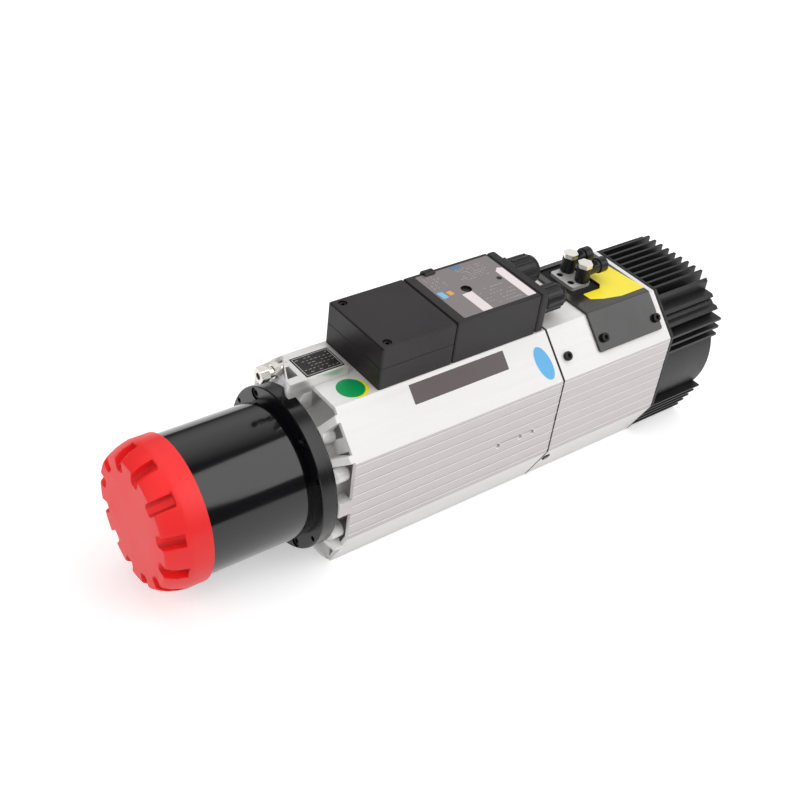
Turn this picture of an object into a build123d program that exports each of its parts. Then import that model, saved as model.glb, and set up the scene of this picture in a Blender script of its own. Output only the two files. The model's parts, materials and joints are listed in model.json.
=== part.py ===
from build123d import *
import os
from math import atan2, cos, degrees, radians, sin, sqrt

os.makedirs("parts", exist_ok=True)

# Air-cooled motor spindle with an automatic tool changer.
# X = 0 is the front face of the mounting flange and X is the spin axis.
# The tool end points to -X, +Z is up, and all sizes are in millimetres.

# ---- Driving dimensions -------------------------------------------------

# Body section: an eight-sided outline about the spin axis
BODY_WIDTH = 146.0
TOP_Z = 82.2
BASE_Z = -77.0
TOP_FLAT = 78.0
BASE_FLAT = 105.6
SIDE_LOW_Z = -33.9
BODY_WALL = 4.0
TUBE_BORE_R = 56.0
TUBE_WALL = 5.0
WEB = 4.0
SIDE_WEB = 9.0
CORNER_WEB = 12.0
SCREW_CIRCLE_R = 74.5
RAIL_Y = 40.0
RAIL_WIDTH = 20.0
RAIL_HEIGHT = 17.0
BASE_HOLE_START = 80.0
BASE_HOLE_END = 50.0
SIDE_HOLES = (66.8, 41.3, 26.7)
SIDE_HOLE_Z = 2.0
SIDE_HOLE_R = 2.1
SIDE_HOLE_DEPTH = 8.0
RIB_ANGLES = (58.9, 36.6)
RIB_WIDTH = 6.5
TONGUE_Z = 3.0
TONGUE_WIDTH = 14.5
WIRE_Y = 20.0
WIRE_HOLE_R = 5.0
TIE_ROD_GRIP = 14.0
SIDE_RIDGES = 8
RIDGE_PITCH = 10.6
RIDGE_HEIGHT = 0.5

# Lengths along the spin axis
NOSE_LENGTH = 108.0
FLANGE_THICK = 14.0
WINDOW_LENGTH = 12.0
HOUSING_LENGTH = 236.0
GASKET_THICK = 2.0
REAR_HOUSING_LENGTH = 137.0
FIN_COVER_LENGTH = 70.0

# Nose, flange and protective cap
NOSE_R = 60.0
RELIEF_LENGTH = 7.0
RELIEF_DEPTH = 1.5
FLANGE_R = 71.6
FLANGE_SCREW_Y = 36.0
FLANGE_SCREW_Z = 54.2
HOOD_HOLE_Y = 59.9
HOOD_HOLE_Z = 30.8
CAP_OVERLAP = 14.8
CAP_REACH = 23.0
CAP_WALL = 2.9
CAP_CLEARANCE = 0.3
CAP_SLOTS = 12
CAP_SLOT_WIDTH = 10.5
CAP_SLOT_ANGLE = 8.0
CAP_FLOOR_R = 44.0
CAP_FLOOR_SLOPE = 30.5
COVER_RING_R = 47.0
COVER_RING_THICK = 8.0
COVER_RING_SCREWS = 6
COVER_RING_SCREW_R = 41.5
FLANGE_SCREW_GRIP = 10.5

# Shaft, bearings and motor
FRONT_SEAT_R = 22.5
FRONT_BEARING_OD_R = 37.5
FRONT_BEARING_WIDTH = 16.0
FRONT_BALL_R = 4.5
FRONT_BALLS = 14
BEARING_GAP = 10.0
REAR_SEAT_R = 17.5
REAR_BEARING_OD_R = 31.0
REAR_BEARING_WIDTH = 14.0
REAR_BALL_R = 3.9
REAR_BALLS = 12
SHAFT_NOSE_R = 25.0
SOCKET_GAUGE_R = 15.875
SOCKET_DEPTH = 48.0
SOCKET_RATE = 7.0 / 24.0
ROTOR_SEAT_R = 20.0
ROTOR_R = 35.4
AIR_GAP = 0.6
STATOR_SLOTS = 24
SLOT_WIDTH = 4.2
END_TURN_LENGTH = 13.0
STATOR_START = 92.0
SENSOR_RING_R = 24.0

# Drawbar, gripper and springs
DRAWBAR_R = 6.0
CHAMBER_R = 13.0
SPRING_COUNT = 36
SPRING_THICK = 1.5
SPRING_SEAT_X = 30.0
FINGERS = 4
FINGER_TIP_R = 9.4
FINGER_LENGTH = 26.0

# Release cylinder and piston
CYLINDER_BORE_R = 44.0
PISTON_THICK = 22.0
PISTON_ROD_R = 12.0
SEAL_R = 42.2
NIPPLE_R = 4.5

# Cooling fan in the finned cover
COVER_CORE_R = 72.6
FAN_BORE_R = 66.0
FIN_PITCH = 8.9
FIN_THICK = 2.6
TOP_FINS_EACH_SIDE = 5
FAN_R = 62.0
FAN_BLADES = 7
FAN_MOTOR_R = 27.0
FAN_HUB_R = 22.0
FAN_SHAFT_R = 4.0
SPIDER_THICK = 5.0
TIE_BOSS_R = 8.0
GRILLE_THICK = 2.5
GRILLE_SCREW_R = 62.5

# Terminal box on the top flat
BOX_START = 68.7
BOX_FRONT_LENGTH = 75.8
BOX_WIDTH = 76.6
BOX_HEIGHT = 40.3
BOX_WALL = 3.0
LID_HEIGHT = 19.8
BOX_JOINT = 0.4
LID_SCREW_INSET = 9.3
LID_SCREW_SINK = 5.0
END_COVER_THICK = 10.0
GLAND_EDGE = 17.3
GLAND_AF = (29.0, 24.0)
GLAND_THREAD_R = (12.4, 9.9)
GLAND_BORE_R = (8.0, 6.0)
GLAND_NUT_LENGTH = (30.0, 27.0)
GLAND_RISE = (21.5, 19.0)

# Cover plate, air manifold and elbows on the rear housing
COVER_PLATE_THICK = 2.5
COVER_PLATE_START = 48.0
COVER_PLATE_LENGTH = 81.0
COVER_PLATE_DROP = 36.4
MANIFOLD_X = 74.0
MANIFOLD_Y = 10.5
MANIFOLD_LENGTH = 24.0
MANIFOLD_WIDTH = 31.0
MANIFOLD_THICK = 5.0
ELBOW_SPACING = 19.8
ELBOW_R = 6.9
ELBOW_REACH = 25.0
ELBOW_COLLAR_R = 7.4
ELBOW_TUBE_R = 4.05
BANJO_R = 4.0
BANJO_AF = 13.0
COVER_SCREW_LENGTH = 7.5

# Nameplate block on the front of the housing
PLATE_BLOCK_START = 3.0
PLATE_BLOCK_SQUARE = 18.0
PLATE_BLOCK_END = 60.0
PLATE_BLOCK_FOOT_Z = 77.5
PLATE_POCKET_START = 20.5
BLOCK_SCREW_X = 40.0
BLOCK_SCREW_Y = 6.0
PURGE_START = -9.0
PURGE_LENGTH = 26.0
PURGE_Y = 18.5
PURGE_Z = 87.0
PURGE_AF = 12.0
PURGE_TUBE_R = 3.05
PLATE_BLOCK_Y = 8.5
PLATE_BLOCK_WIDTH = 34.0
PLATE_BLOCK_RISE = 9.4

# Fits and fasteners
SEAT = 0.05
RUNNING = 0.05
FREE = 0.3
M4_R = 2.0
M4_HEAD_R = 3.5
M4_HEAD = 4.0
M4_LOW_HEAD_R = 3.0
M4_LOW_HEAD = 2.0
M4_LOW_LENGTH = 7.0
M5_R = 2.5
M5_HEAD_R = 4.25
M5_HEAD = 4.6
M5_LOW_HEAD = 3.4
M6_R = 3.0
M6_HEAD_R = 5.0
M6_HEAD = 6.0
M8_TAP_R = 3.4

# ---- Stations that follow from them -------------------------------------

NOSE_FRONT = -NOSE_LENGTH
HOUSING_START = FLANGE_THICK
WINDOW_END = HOUSING_START + WINDOW_LENGTH
HOUSING_END = HOUSING_START + HOUSING_LENGTH
REAR_START = HOUSING_END + GASKET_THICK
REAR_END = REAR_START + REAR_HOUSING_LENGTH
COVER_START = REAR_END + GASKET_THICK
COVER_END = COVER_START + FIN_COVER_LENGTH
SIDE_Y = BODY_WIDTH / 2
SHOULDER_Z = TOP_Z - (SIDE_Y - TOP_FLAT / 2)
TUBE_R = TUBE_BORE_R + TUBE_WALL
FRONT_PITCH_R = (FRONT_SEAT_R + FRONT_BEARING_OD_R) / 2
REAR_PITCH_R = (REAR_SEAT_R + REAR_BEARING_OD_R) / 2
STATOR_BORE_R = ROTOR_R + AIR_GAP
BEARING_1 = NOSE_FRONT + 4.0
BEARING_2 = BEARING_1 + FRONT_BEARING_WIDTH + BEARING_GAP
BEARING_END = BEARING_2 + FRONT_BEARING_WIDTH
SHAFT_FRONT = NOSE_FRONT - 14.0
REAR_PLATE_START = HOUSING_END - 50.0
REAR_BEARING = REAR_PLATE_START + 5.0
REAR_BEARING_END = REAR_BEARING + REAR_BEARING_WIDTH
SHAFT_END = HOUSING_END - 18.0
STATOR_END = REAR_PLATE_START - 16.0
DRAWBAR_END = HOUSING_END + 5.7
GRIP_X = SHAFT_FRONT + SOCKET_DEPTH + 17.0
FINGER_PIVOT_X = GRIP_X + FINGER_LENGTH
SPRING_NUT_X = SHAFT_END - 36.0
CYLINDER_START = HOUSING_END + 12.0
CYLINDER_END = REAR_END - 25.0
PISTON_END = CYLINDER_END - 22.0
PISTON_START = PISTON_END - PISTON_THICK
BOX_TOP = TOP_Z + BOX_HEIGHT
BOX_SEAM_Z = BOX_TOP - LID_HEIGHT
BOX_SPLIT = BOX_START + BOX_FRONT_LENGTH
END_COVER_START = HOUSING_END - 2.0 - END_COVER_THICK
END_COVER_END = END_COVER_START + END_COVER_THICK
PLATE_START = REAR_START + COVER_PLATE_START
MANIFOLD_CENTRE_X = REAR_START + MANIFOLD_X
ELBOW_X = MANIFOLD_CENTRE_X + 5.0
MANIFOLD_TOP = TOP_Z + MANIFOLD_THICK
ELBOW_BASE = MANIFOLD_TOP + FREE
ELBOW_TOP = ELBOW_BASE + 15.0
OUTLET_Z = ELBOW_TOP - 3.6
WIRE_X = STATOR_START - 7.0
SPIDER_X = COVER_START + 27.0
GRILLE_X = COVER_END - GRILLE_THICK - 2.5
CORNER_ANGLES = (45.0, 135.0, 225.0, 315.0)


# ---- Helpers --------------------------------------------------------------

def rod_x(radius, start, end, y=0.0, z=0.0):
    """A cylinder along X from start to end."""
    body = Cylinder(radius, end - start, align=(Align.CENTER, Align.CENTER, Align.MIN))
    return Pos(start, y, z) * Rot(0, 90, 0) * body


def tube_x(outer, inner, start, end, y=0.0, z=0.0):
    """A round tube along X."""
    return rod_x(outer, start, end, y, z) - rod_x(inner, start - 1, end + 1, y, z)


def rod_z(radius, low, high, x, y):
    """A cylinder along Z from low to high."""
    body = Cylinder(radius, high - low, align=(Align.CENTER, Align.CENTER, Align.MIN))
    return Pos(x, y, low) * body


def block(x0, x1, y0, y1, z0, z1):
    """A box between two corners."""
    centre = Pos((x0 + x1) / 2, (y0 + y1) / 2, (z0 + z1) / 2)
    return centre * Box(x1 - x0, y1 - y0, z1 - z0)


def prism(outline, start, end):
    """An outline drawn in Y and Z, extruded along X."""
    return extrude(Plane.YZ.offset(start) * outline, amount=end - start)


def turned(points):
    """A closed profile of (x, radius) points turned about the spin axis."""
    return revolve(make_face(Polyline(points, close=True)), Axis.X)


def ring_of(shape, count, start_angle=0.0):
    """Copies of a shape spaced evenly round the spin axis."""
    return [Rot(start_angle + 360.0 * i / count, 0, 0) * shape for i in range(count)]


def hex_outline(across_flats):
    """A hexagon by the distance across its flats."""
    return RegularPolygon(across_flats / 2, 6, major_radius=False)


def union(shapes):
    """All shapes fused, starting from the first."""
    result = shapes[0]
    for shape in shapes[1:]:
        result = result + shape
    return result


def minus(shape, cutters):
    """A shape with every cutter taken away."""
    for cutter in cutters:
        shape = shape - cutter
    return shape


def save(name, shape):
    """One file for one node: a solid, or a group of like solids."""
    solids = shape if isinstance(shape, list) else [shape]
    pieces = [solid for item in solids for solid in item.solids()]
    export_step(pieces[0] if len(pieces) == 1 else Compound(children=pieces), f"parts/{name}.step")


def both_sides(shape):
    """A shape and its mirror image across the middle plane."""
    return [shape, mirror(shape, Plane.XZ)]


def body_outline(inset=0.0):
    """The eight-sided body outline, moved inwards by inset."""
    right = [
        (TOP_FLAT / 2, TOP_Z),
        (SIDE_Y, SHOULDER_Z),
        (SIDE_Y, SIDE_LOW_Z),
        (BASE_FLAT / 2, BASE_Z),
    ]
    left = [(-y, z) for y, z in reversed(right)]
    outline = make_face(Polyline(right + left, close=True))
    return offset(outline, -inset, kind=Kind.INTERSECTION) if inset else outline


def spoke(angle, width, reach=110.0):
    """A straight web from the axis outwards."""
    return Rot(0, 0, angle) * Pos(reach / 2, 0) * Rectangle(reach, width)


def housing_section():
    """Octagonal shell, inner tube, webs between them and solid base rails."""
    inside = body_outline(BODY_WALL) - Circle(TUBE_R)
    webs = [spoke(angle, CORNER_WEB) for angle in CORNER_ANGLES]
    webs += [spoke(angle, SIDE_WEB) for angle in (0, 180)]
    webs += [spoke(angle, WEB) for angle in (90, 270)]
    rail_z = BASE_Z + RAIL_HEIGHT / 2
    webs += [Pos(side * RAIL_Y, rail_z) * Rectangle(RAIL_WIDTH, RAIL_HEIGHT) for side in (-1, 1)]
    inside = minus(inside, webs)
    return body_outline() - inside - Circle(TUBE_BORE_R)


def side_ridges(start, end, height):
    """Thin raised lines along both flat sides."""
    first_z = SHOULDER_Z - 2.8
    ridges = []
    for i in range(SIDE_RIDGES):
        z = first_z - i * RIDGE_PITCH
        ridges += both_sides(block(start, end, SIDE_Y - 1, SIDE_Y + height, z - 0.6, z + 0.6))
    return ridges


def corner_rods(radius, start, end):
    """Four rods along X on the diagonal screw places."""
    rods = []
    for angle in CORNER_ANGLES:
        y = SCREW_CIRCLE_R * cos(radians(angle))
        z = SCREW_CIRCLE_R * sin(radians(angle))
        rods.append(rod_x(radius, start, end, y, z))
    return rods


def on_facet(x, drop, rise=0.0):
    """A plane on the slanted facet of the -Y side, drop mm down from the top edge."""
    slope = sqrt(0.5)
    y = -(TOP_FLAT / 2 + drop * slope) - rise * slope
    z = TOP_Z - drop * slope + rise * slope
    return Plane(origin=(x, y, z), x_dir=(1, 0, 0), z_dir=(0, -slope, slope))


def cap_screw(shank_r, head_r, head_height, length):
    """Socket cap screw along Z, the underside of its head at Z = 0."""
    up = (Align.CENTER, Align.CENTER, Align.MIN)
    down = (Align.CENTER, Align.CENTER, Align.MAX)
    screw = Cylinder(head_r, head_height, align=up) + Cylinder(shank_r, length, align=down)
    key = Pos(0, 0, head_height * 0.45) * extrude(hex_outline(shank_r * 1.6), amount=head_height)
    return screw - key


# ---- Housings -------------------------------------------------------------

def front_ribs():
    """What joins the tube to the outer shell between the front windows."""
    upper = [spoke(angle, RIB_WIDTH) for angle in RIB_ANGLES]
    lower = [spoke(-angle, RIB_WIDTH) for angle in RIB_ANGLES]
    ribs = upper + lower
    ribs += [Rot(0, 0, 180) * rib for rib in ribs]
    tongue = Rectangle(2 * SIDE_Y, TONGUE_WIDTH)
    top = Rectangle(PLATE_BLOCK_WIDTH, PLATE_BLOCK_FOOT_Z, align=(Align.CENTER, Align.MIN))
    foot = Rectangle(RIB_WIDTH * 2, -BASE_Z, align=(Align.CENTER, Align.MAX))
    ribs += [Pos(0, TONGUE_Z) * tongue, Pos(PLATE_BLOCK_Y, 0) * top, foot]
    for y, z in rectangle_places(FLANGE_SCREW_Y, FLANGE_SCREW_Z):
        ribs.append(Pos(y, z) * Circle(M6_R + 5.0))
    for y, z in rectangle_places(HOOD_HOLE_Y, HOOD_HOLE_Z):
        ribs.append(Pos(y, z) * Circle(M5_R + 4.5))
    return ribs


def rectangle_places(y, z):
    """The four corners of a rectangle round the axis."""
    return [(y, z), (-y, z), (y, -z), (-y, -z)]


def main_housing():
    """Extruded aluminium body with machined front windows."""
    windows = body_outline() - union([Circle(TUBE_R)] + front_ribs())
    solid_front = body_outline() - windows - Circle(TUBE_BORE_R)
    slope = turned([
        (HOUSING_START, 0),
        (HOUSING_START, FLANGE_R),
        (WINDOW_END, FLANGE_R + 22),
        (WINDOW_END, 0),
    ])
    side_tongues = block(HOUSING_START, WINDOW_END, -SIDE_Y, SIDE_Y,
                         TONGUE_Z - TONGUE_WIDTH / 2, TONGUE_Z + TONGUE_WIDTH / 2)
    front = prism(solid_front, HOUSING_START, WINDOW_END)
    front = (front & slope) + (front & side_tongues)
    body = front + prism(housing_section(), WINDOW_END, HOUSING_END)
    body = body + union(side_ridges(WINDOW_END, HOUSING_END, RIDGE_HEIGHT))
    for y, z in rectangle_places(FLANGE_SCREW_Y, FLANGE_SCREW_Z):
        hole_end = HOUSING_START + FLANGE_SCREW_GRIP + 0.5
        body = body - rod_x(M6_R + SEAT, HOUSING_START - 1, hole_end, y, z)
    for y, z in rectangle_places(HOOD_HOLE_Y, HOOD_HOLE_Z):
        body = body - rod_x(M5_R, HOUSING_START - 1, WINDOW_END - 2, y, z)
    for rod in corner_rods(M5_R + SEAT, HOUSING_END - TIE_ROD_GRIP - 1, HOUSING_END + 1):
        body = body - rod
    for x, y in base_hole_places():
        body = body - rod_z(M8_TAP_R, BASE_Z - 1, BASE_Z + RAIL_HEIGHT - 3, x, y)
    for from_end in SIDE_HOLES:
        hole = Rot(90, 0, 0) * Cylinder(SIDE_HOLE_R, 2 * SIDE_HOLE_DEPTH)
        body = body - Pos(HOUSING_END - from_end, -SIDE_Y, SIDE_HOLE_Z) * hole
    body = body - rod_z(WIRE_HOLE_R, TUBE_BORE_R - 12, TOP_Z + 1, WIRE_X, WIRE_Y)
    for y in (PLATE_BLOCK_Y - BLOCK_SCREW_Y, PLATE_BLOCK_Y + BLOCK_SCREW_Y):
        body = body - rod_z(M5_R + SEAT, TOP_Z - 9, TOP_Z + 1, BLOCK_SCREW_X, y)
    return body


def base_hole_places():
    """Four tapped holes in the base rails."""
    xs = (BASE_HOLE_START, HOUSING_END - BASE_HOLE_END)
    return [(x, side * RAIL_Y) for x in xs for side in (-1, 1)]


def gasket(start):
    """Thin rubber joint cut to the housing section."""
    sheet = prism(housing_section(), start, start + GASKET_THICK)
    return minus(sheet, corner_rods(M5_R + SEAT, start - 1, start + GASKET_THICK + 1))


def nipple_places():
    """Where the two air nipples drop from the manifold into the cylinder."""
    half = ELBOW_SPACING / 2
    return [(ELBOW_X, MANIFOLD_Y + half), (ELBOW_X, MANIFOLD_Y - half)]


def rear_housing():
    """Second length of the same extrusion, round the release cylinder."""
    body = prism(housing_section(), REAR_START, REAR_END)
    body = body + union(side_ridges(REAR_START, REAR_END, RIDGE_HEIGHT / 2))
    body = minus(body, corner_rods(M5_R + FREE, REAR_START - 1, REAR_END + 1))
    for x, y in nipple_places():
        body = body - rod_z(NIPPLE_R + SEAT, CYLINDER_BORE_R - 5, TOP_Z + 1, x, y)
    for x, y in manifold_screw_places():
        body = body - rod_z(M4_R + SEAT, TOP_Z - 8, TOP_Z + 1, x, y)
    for plane in cover_screw_planes() + joint_screw_planes():
        body = minus(body, both_sides(plane * Cylinder(M5_R + SEAT, 2 * COVER_SCREW_LENGTH + 1)))
    return body


def joint_screw_planes():
    """One screw on each slanted facet, close behind the joint."""
    return [on_facet(REAR_START + 11.4, 28.5)]


def cover_screw_planes():
    """Two screws on each slanted part of the cover plate."""
    xs = (PLATE_START + 9.0, PLATE_START + COVER_PLATE_LENGTH - 4.5)
    return [on_facet(x, 24.8) for x in xs]


def side_plugs():
    """Small square plugs low on the chamfers, just behind the joint."""
    slope = degrees(atan2(SIDE_Y - BASE_FLAT / 2, SIDE_LOW_Z - BASE_Z))
    share = 0.3
    y = SIDE_Y - share * (SIDE_Y - BASE_FLAT / 2)
    z = SIDE_LOW_Z - share * (SIDE_LOW_Z - BASE_Z)
    plug = Pos(REAR_START + 5.0, -y, z) * Rot(slope, 0, 0) * Pos(0, -0.75, 0) * Box(6, 1.5, 6)
    return both_sides(plug)


# ---- Nose, flange and cap -------------------------------------------------

def nose_sleeve():
    """Front bearing housing, with a spigot that centres flange and body."""
    relief_r = NOSE_R - RELIEF_DEPTH
    spigot_r = TUBE_BORE_R - SEAT
    spigot_end = WINDOW_END + 10
    bearing_r = FRONT_BEARING_OD_R + SEAT
    inner_r = FRONT_BEARING_OD_R - 4
    sleeve = turned([
        (NOSE_FRONT, bearing_r),
        (NOSE_FRONT, NOSE_R - 1),
        (NOSE_FRONT + 1, NOSE_R),
        (-RELIEF_LENGTH, NOSE_R),
        (-RELIEF_LENGTH, relief_r),
        (0, relief_r),
        (0, spigot_r),
        (spigot_end, spigot_r),
        (spigot_end, inner_r),
        (BEARING_END, inner_r),
        (BEARING_END, bearing_r),
    ])
    screw = rod_x(M4_R + SEAT, NOSE_FRONT - 1, NOSE_FRONT + 14, 0, COVER_RING_SCREW_R)
    return minus(sleeve, ring_of(screw, COVER_RING_SCREWS))


def front_cover_ring():
    """Ring that holds the front bearings in, with a close gap to the shaft."""
    start = NOSE_FRONT - COVER_RING_THICK
    ring = turned([
        (start, SHAFT_NOSE_R + FREE),
        (start, COVER_RING_R - 2),
        (start + 2, COVER_RING_R),
        (NOSE_FRONT, COVER_RING_R),
        (NOSE_FRONT, FRONT_BEARING_OD_R),
        (BEARING_1, FRONT_BEARING_OD_R),
        (BEARING_1, FRONT_BEARING_OD_R - 4),
        (NOSE_FRONT, FRONT_BEARING_OD_R - 4),
        (NOSE_FRONT, SHAFT_NOSE_R + FREE),
    ])
    hole = rod_x(M4_R + SEAT, start - 1, NOSE_FRONT + 1, 0, COVER_RING_SCREW_R)
    sink = rod_x(M4_HEAD_R + 0.2, start - 1, start + M4_HEAD + 0.4, 0, COVER_RING_SCREW_R)
    return minus(ring, ring_of(hole + sink, COVER_RING_SCREWS))


def cover_ring_screws():
    """Six socket screws through the front cover ring."""
    head_x = NOSE_FRONT - COVER_RING_THICK + M4_HEAD + 0.4
    screw = cap_screw(M4_R, M4_HEAD_R, M4_HEAD, 14)
    placed = Pos(head_x, 0, COVER_RING_SCREW_R) * Rot(0, -90, 0) * screw
    return ring_of(placed, COVER_RING_SCREWS)


def mounting_flange():
    """Round black flange between nose and body."""
    ring = turned([
        (0, TUBE_BORE_R),
        (0, FLANGE_R - 0.8),
        (0.8, FLANGE_R),
        (FLANGE_THICK, FLANGE_R),
        (FLANGE_THICK, TUBE_BORE_R),
    ])
    for y, z in rectangle_places(FLANGE_SCREW_Y, FLANGE_SCREW_Z):
        ring = ring - rod_x(M6_R + SEAT, -1, FLANGE_THICK + 1, y, z)
        ring = ring - rod_x(M6_HEAD_R + 0.25, -1, M6_HEAD + 1, y, z)
    for y, z in rectangle_places(HOOD_HOLE_Y, HOOD_HOLE_Z):
        ring = ring - rod_x(M5_R, -1, FLANGE_THICK + 1, y, z)
    return ring


def flange_screws():
    """Four socket screws, their heads sunk in the flange."""
    length = FLANGE_THICK - M6_HEAD - 1 + FLANGE_SCREW_GRIP
    screw = Rot(0, -90, 0) * cap_screw(M6_R, M6_HEAD_R, M6_HEAD, length)
    return [Pos(M6_HEAD + 1, y, z) * screw for y, z in rectangle_places(FLANGE_SCREW_Y, FLANGE_SCREW_Z)]


def protective_cap():
    """Push-on plastic cap with finger slots round its front edge."""
    rim = NOSE_FRONT + CAP_OVERLAP
    front = NOSE_FRONT - CAP_REACH
    outer_r = NOSE_R + CAP_WALL
    inner_r = NOSE_R + CAP_CLEARANCE
    shell = turned([
        (rim, inner_r),
        (rim, outer_r - 0.6),
        (rim - 0.6, outer_r),
        (front + 21, outer_r),
        (front + 15, outer_r - 1.4),
        (front + 9, outer_r - 3.3),
        (front + 4, outer_r - 5.9),
        (front + 1, outer_r - 8),
        (front, outer_r - 9.5),
        (front, 0),
        (front + 3.5, 0),
        (front + 3.5, CAP_FLOOR_R - 3.5),
        (NOSE_FRONT - 0.4, COVER_RING_R + 6),
        (NOSE_FRONT - 0.4, inner_r),
    ])
    slot = Box(2 * CAP_REACH, CAP_SLOT_WIDTH, 20, align=(Align.CENTER, Align.CENTER, Align.MIN))
    slot = fillet(slot.edges().filter_by(Axis.X).group_by(Axis.Z)[0], 3.0)
    slot = Pos(front, 0, CAP_FLOOR_R) * Rot(0, -CAP_FLOOR_SLOPE, 0) * slot
    return minus(shell, ring_of(slot, CAP_SLOTS, CAP_SLOT_ANGLE))


def purge_fitting():
    """Nickel push-in fitting for the sealing air, pointing forwards."""
    end = PURGE_START + PURGE_LENGTH
    hex_start = PURGE_START + 13
    nut = prism(hex_outline(PURGE_AF), PURGE_START, PURGE_START + 8)
    nut = nut & rod_x(PURGE_AF / 2 + 0.7, PURGE_START, PURGE_START + 8)
    body = nut + rod_x(4.6, PURGE_START + 8, end)
    body = body + prism(hex_outline(11.0), hex_start, hex_start + 6)
    body = body - rod_x(PURGE_TUBE_R, PURGE_START - 1, PURGE_START + 12)
    body = body - rod_x(2.0, PURGE_START + 11, end + 1)
    return Pos(0, PURGE_Y, PURGE_Z) * body


def block_outline():
    """Plan view of the nameplate block: its front runs slantwise."""
    y0 = PLATE_BLOCK_Y - PLATE_BLOCK_WIDTH / 2
    y1 = PLATE_BLOCK_Y + PLATE_BLOCK_WIDTH / 2
    return make_face(Polyline([
        (PLATE_BLOCK_START, y0),
        (PLATE_BLOCK_END, y0),
        (PLATE_BLOCK_END, y1),
        (PLATE_BLOCK_SQUARE, y1),
        (PLATE_BLOCK_START, y0 + 5.5),
    ], close=True))


def plate_pocket(gap, low, high):
    """Space of the nameplate on the block, made smaller by gap."""
    y0 = PLATE_BLOCK_Y - PLATE_BLOCK_WIDTH / 2
    y1 = PLATE_BLOCK_Y + PLATE_BLOCK_WIDTH / 2
    x0 = PLATE_POCKET_START + gap
    x1 = PLATE_BLOCK_END - 2.5 - gap
    return block(x0, x1, y0 + 2 + gap, y1 - 5 - gap, low, high)


def nameplate_block():
    """Aluminium block on the top flat: air inlet in front, nameplate on top."""
    top = TOP_Z + PLATE_BLOCK_RISE
    body = extrude(Pos(0, 0, TOP_Z) * block_outline(), amount=PLATE_BLOCK_RISE)
    foot = extrude(Pos(0, 0, PLATE_BLOCK_FOOT_Z) * block_outline(), amount=TOP_Z - PLATE_BLOCK_FOOT_Z)
    body = body + (foot & block(PLATE_BLOCK_START, WINDOW_END, -SIDE_Y, SIDE_Y, 0, TOP_Z))
    recess_end = PLATE_POCKET_START - 5
    recess = make_face(Polyline([
        (PLATE_BLOCK_START + 3.5, PLATE_BLOCK_Y - 9),
        (recess_end, PLATE_BLOCK_Y - 9),
        (recess_end, PLATE_BLOCK_Y + 5),
        (recess_end - 2.5, PLATE_BLOCK_Y + 5),
    ], close=True))
    body = body - extrude(Pos(0, 0, TOP_Z - 4) * recess, amount=30)
    body = body - plate_pocket(0, top - 1, top + 1)
    body = body - rod_x(4.6 + SEAT, 0, PURGE_START + PURGE_LENGTH + 0.5, PURGE_Y, PURGE_Z)
    for y in (PLATE_BLOCK_Y - BLOCK_SCREW_Y, PLATE_BLOCK_Y + BLOCK_SCREW_Y):
        body = body - rod_z(M5_R + SEAT, TOP_Z - 1, top, BLOCK_SCREW_X, y)
        body = body - rod_z(M5_HEAD_R + FREE, TOP_Z + 3, top, BLOCK_SCREW_X, y)
    return body


def nameplate():
    """Blank black plate in the pocket of the block."""
    top = TOP_Z + PLATE_BLOCK_RISE
    return plate_pocket(FREE, top - 1, top + 0.2)


# ---- Shaft, bearings and motor --------------------------------------------

def spindle_shaft():
    """Hollow shaft: tool taper in front, gripper and spring chamber behind."""
    seat_end = BEARING_END + 12
    outer = [
        (SHAFT_FRONT, SHAFT_NOSE_R - 1),
        (SHAFT_FRONT + 1, SHAFT_NOSE_R),
        (BEARING_1, SHAFT_NOSE_R),
        (BEARING_1, FRONT_SEAT_R),
        (seat_end, FRONT_SEAT_R),
        (STATOR_START - 20, FRONT_SEAT_R),
        (STATOR_START - 20, ROTOR_SEAT_R),
        (REAR_BEARING - 3, ROTOR_SEAT_R),
        (REAR_BEARING - 3, REAR_SEAT_R + 1),
        (REAR_BEARING, REAR_SEAT_R + 1),
        (REAR_BEARING, REAR_SEAT_R),
        (SHAFT_END, REAR_SEAT_R),
    ]
    socket_end = SHAFT_FRONT + SOCKET_DEPTH
    socket_end_r = SOCKET_GAUGE_R - SOCKET_DEPTH * SOCKET_RATE / 2
    inner = [
        (SHAFT_END, CHAMBER_R),
        (SPRING_SEAT_X, CHAMBER_R),
        (SPRING_SEAT_X, DRAWBAR_R + RUNNING),
        (SPRING_SEAT_X - 10, DRAWBAR_R + RUNNING),
        (SPRING_SEAT_X - 10, CHAMBER_R),
        (GRIP_X + 2, CHAMBER_R),
        (GRIP_X + 2, FINGER_TIP_R + 0.6),
        (GRIP_X - 0.2, FINGER_TIP_R + 0.6),
        (GRIP_X - 0.2, CHAMBER_R),
        (socket_end, CHAMBER_R),
        (socket_end, socket_end_r),
        (SHAFT_FRONT, SOCKET_GAUGE_R),
    ]
    return turned(outer + inner)


def ball_bearing_rings(start, width, seat_r, od_r, pitch_r, ball_r):
    """Outer and inner ring with ball grooves."""
    middle = start + width / 2
    groove = Pos(middle, 0, 0) * Rot(0, 90, 0) * Torus(pitch_r, ball_r + RUNNING)
    outer = tube_x(od_r, pitch_r + ball_r * 0.5, start, start + width) - groove
    inner = tube_x(pitch_r - ball_r * 0.5, seat_r + SEAT, start, start + width) - groove
    return outer, inner


def ball_cage(start, width, pitch_r, ball_r, count):
    """Cage ring with one round pocket for each ball."""
    middle = start + width / 2
    half = ball_r + 1.2
    ring = tube_x(pitch_r + ball_r * 0.28, pitch_r - ball_r * 0.28, middle - half, middle + half)
    pocket = Pos(middle, 0, pitch_r) * Cylinder(ball_r + RUNNING * 2, ball_r * 2)
    return minus(ring, ring_of(pocket, count))


def balls(start, width, pitch_r, ball_r, count):
    """One row of balls."""
    return ring_of(Pos(start + width / 2, 0, pitch_r) * Sphere(ball_r), count)


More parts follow.
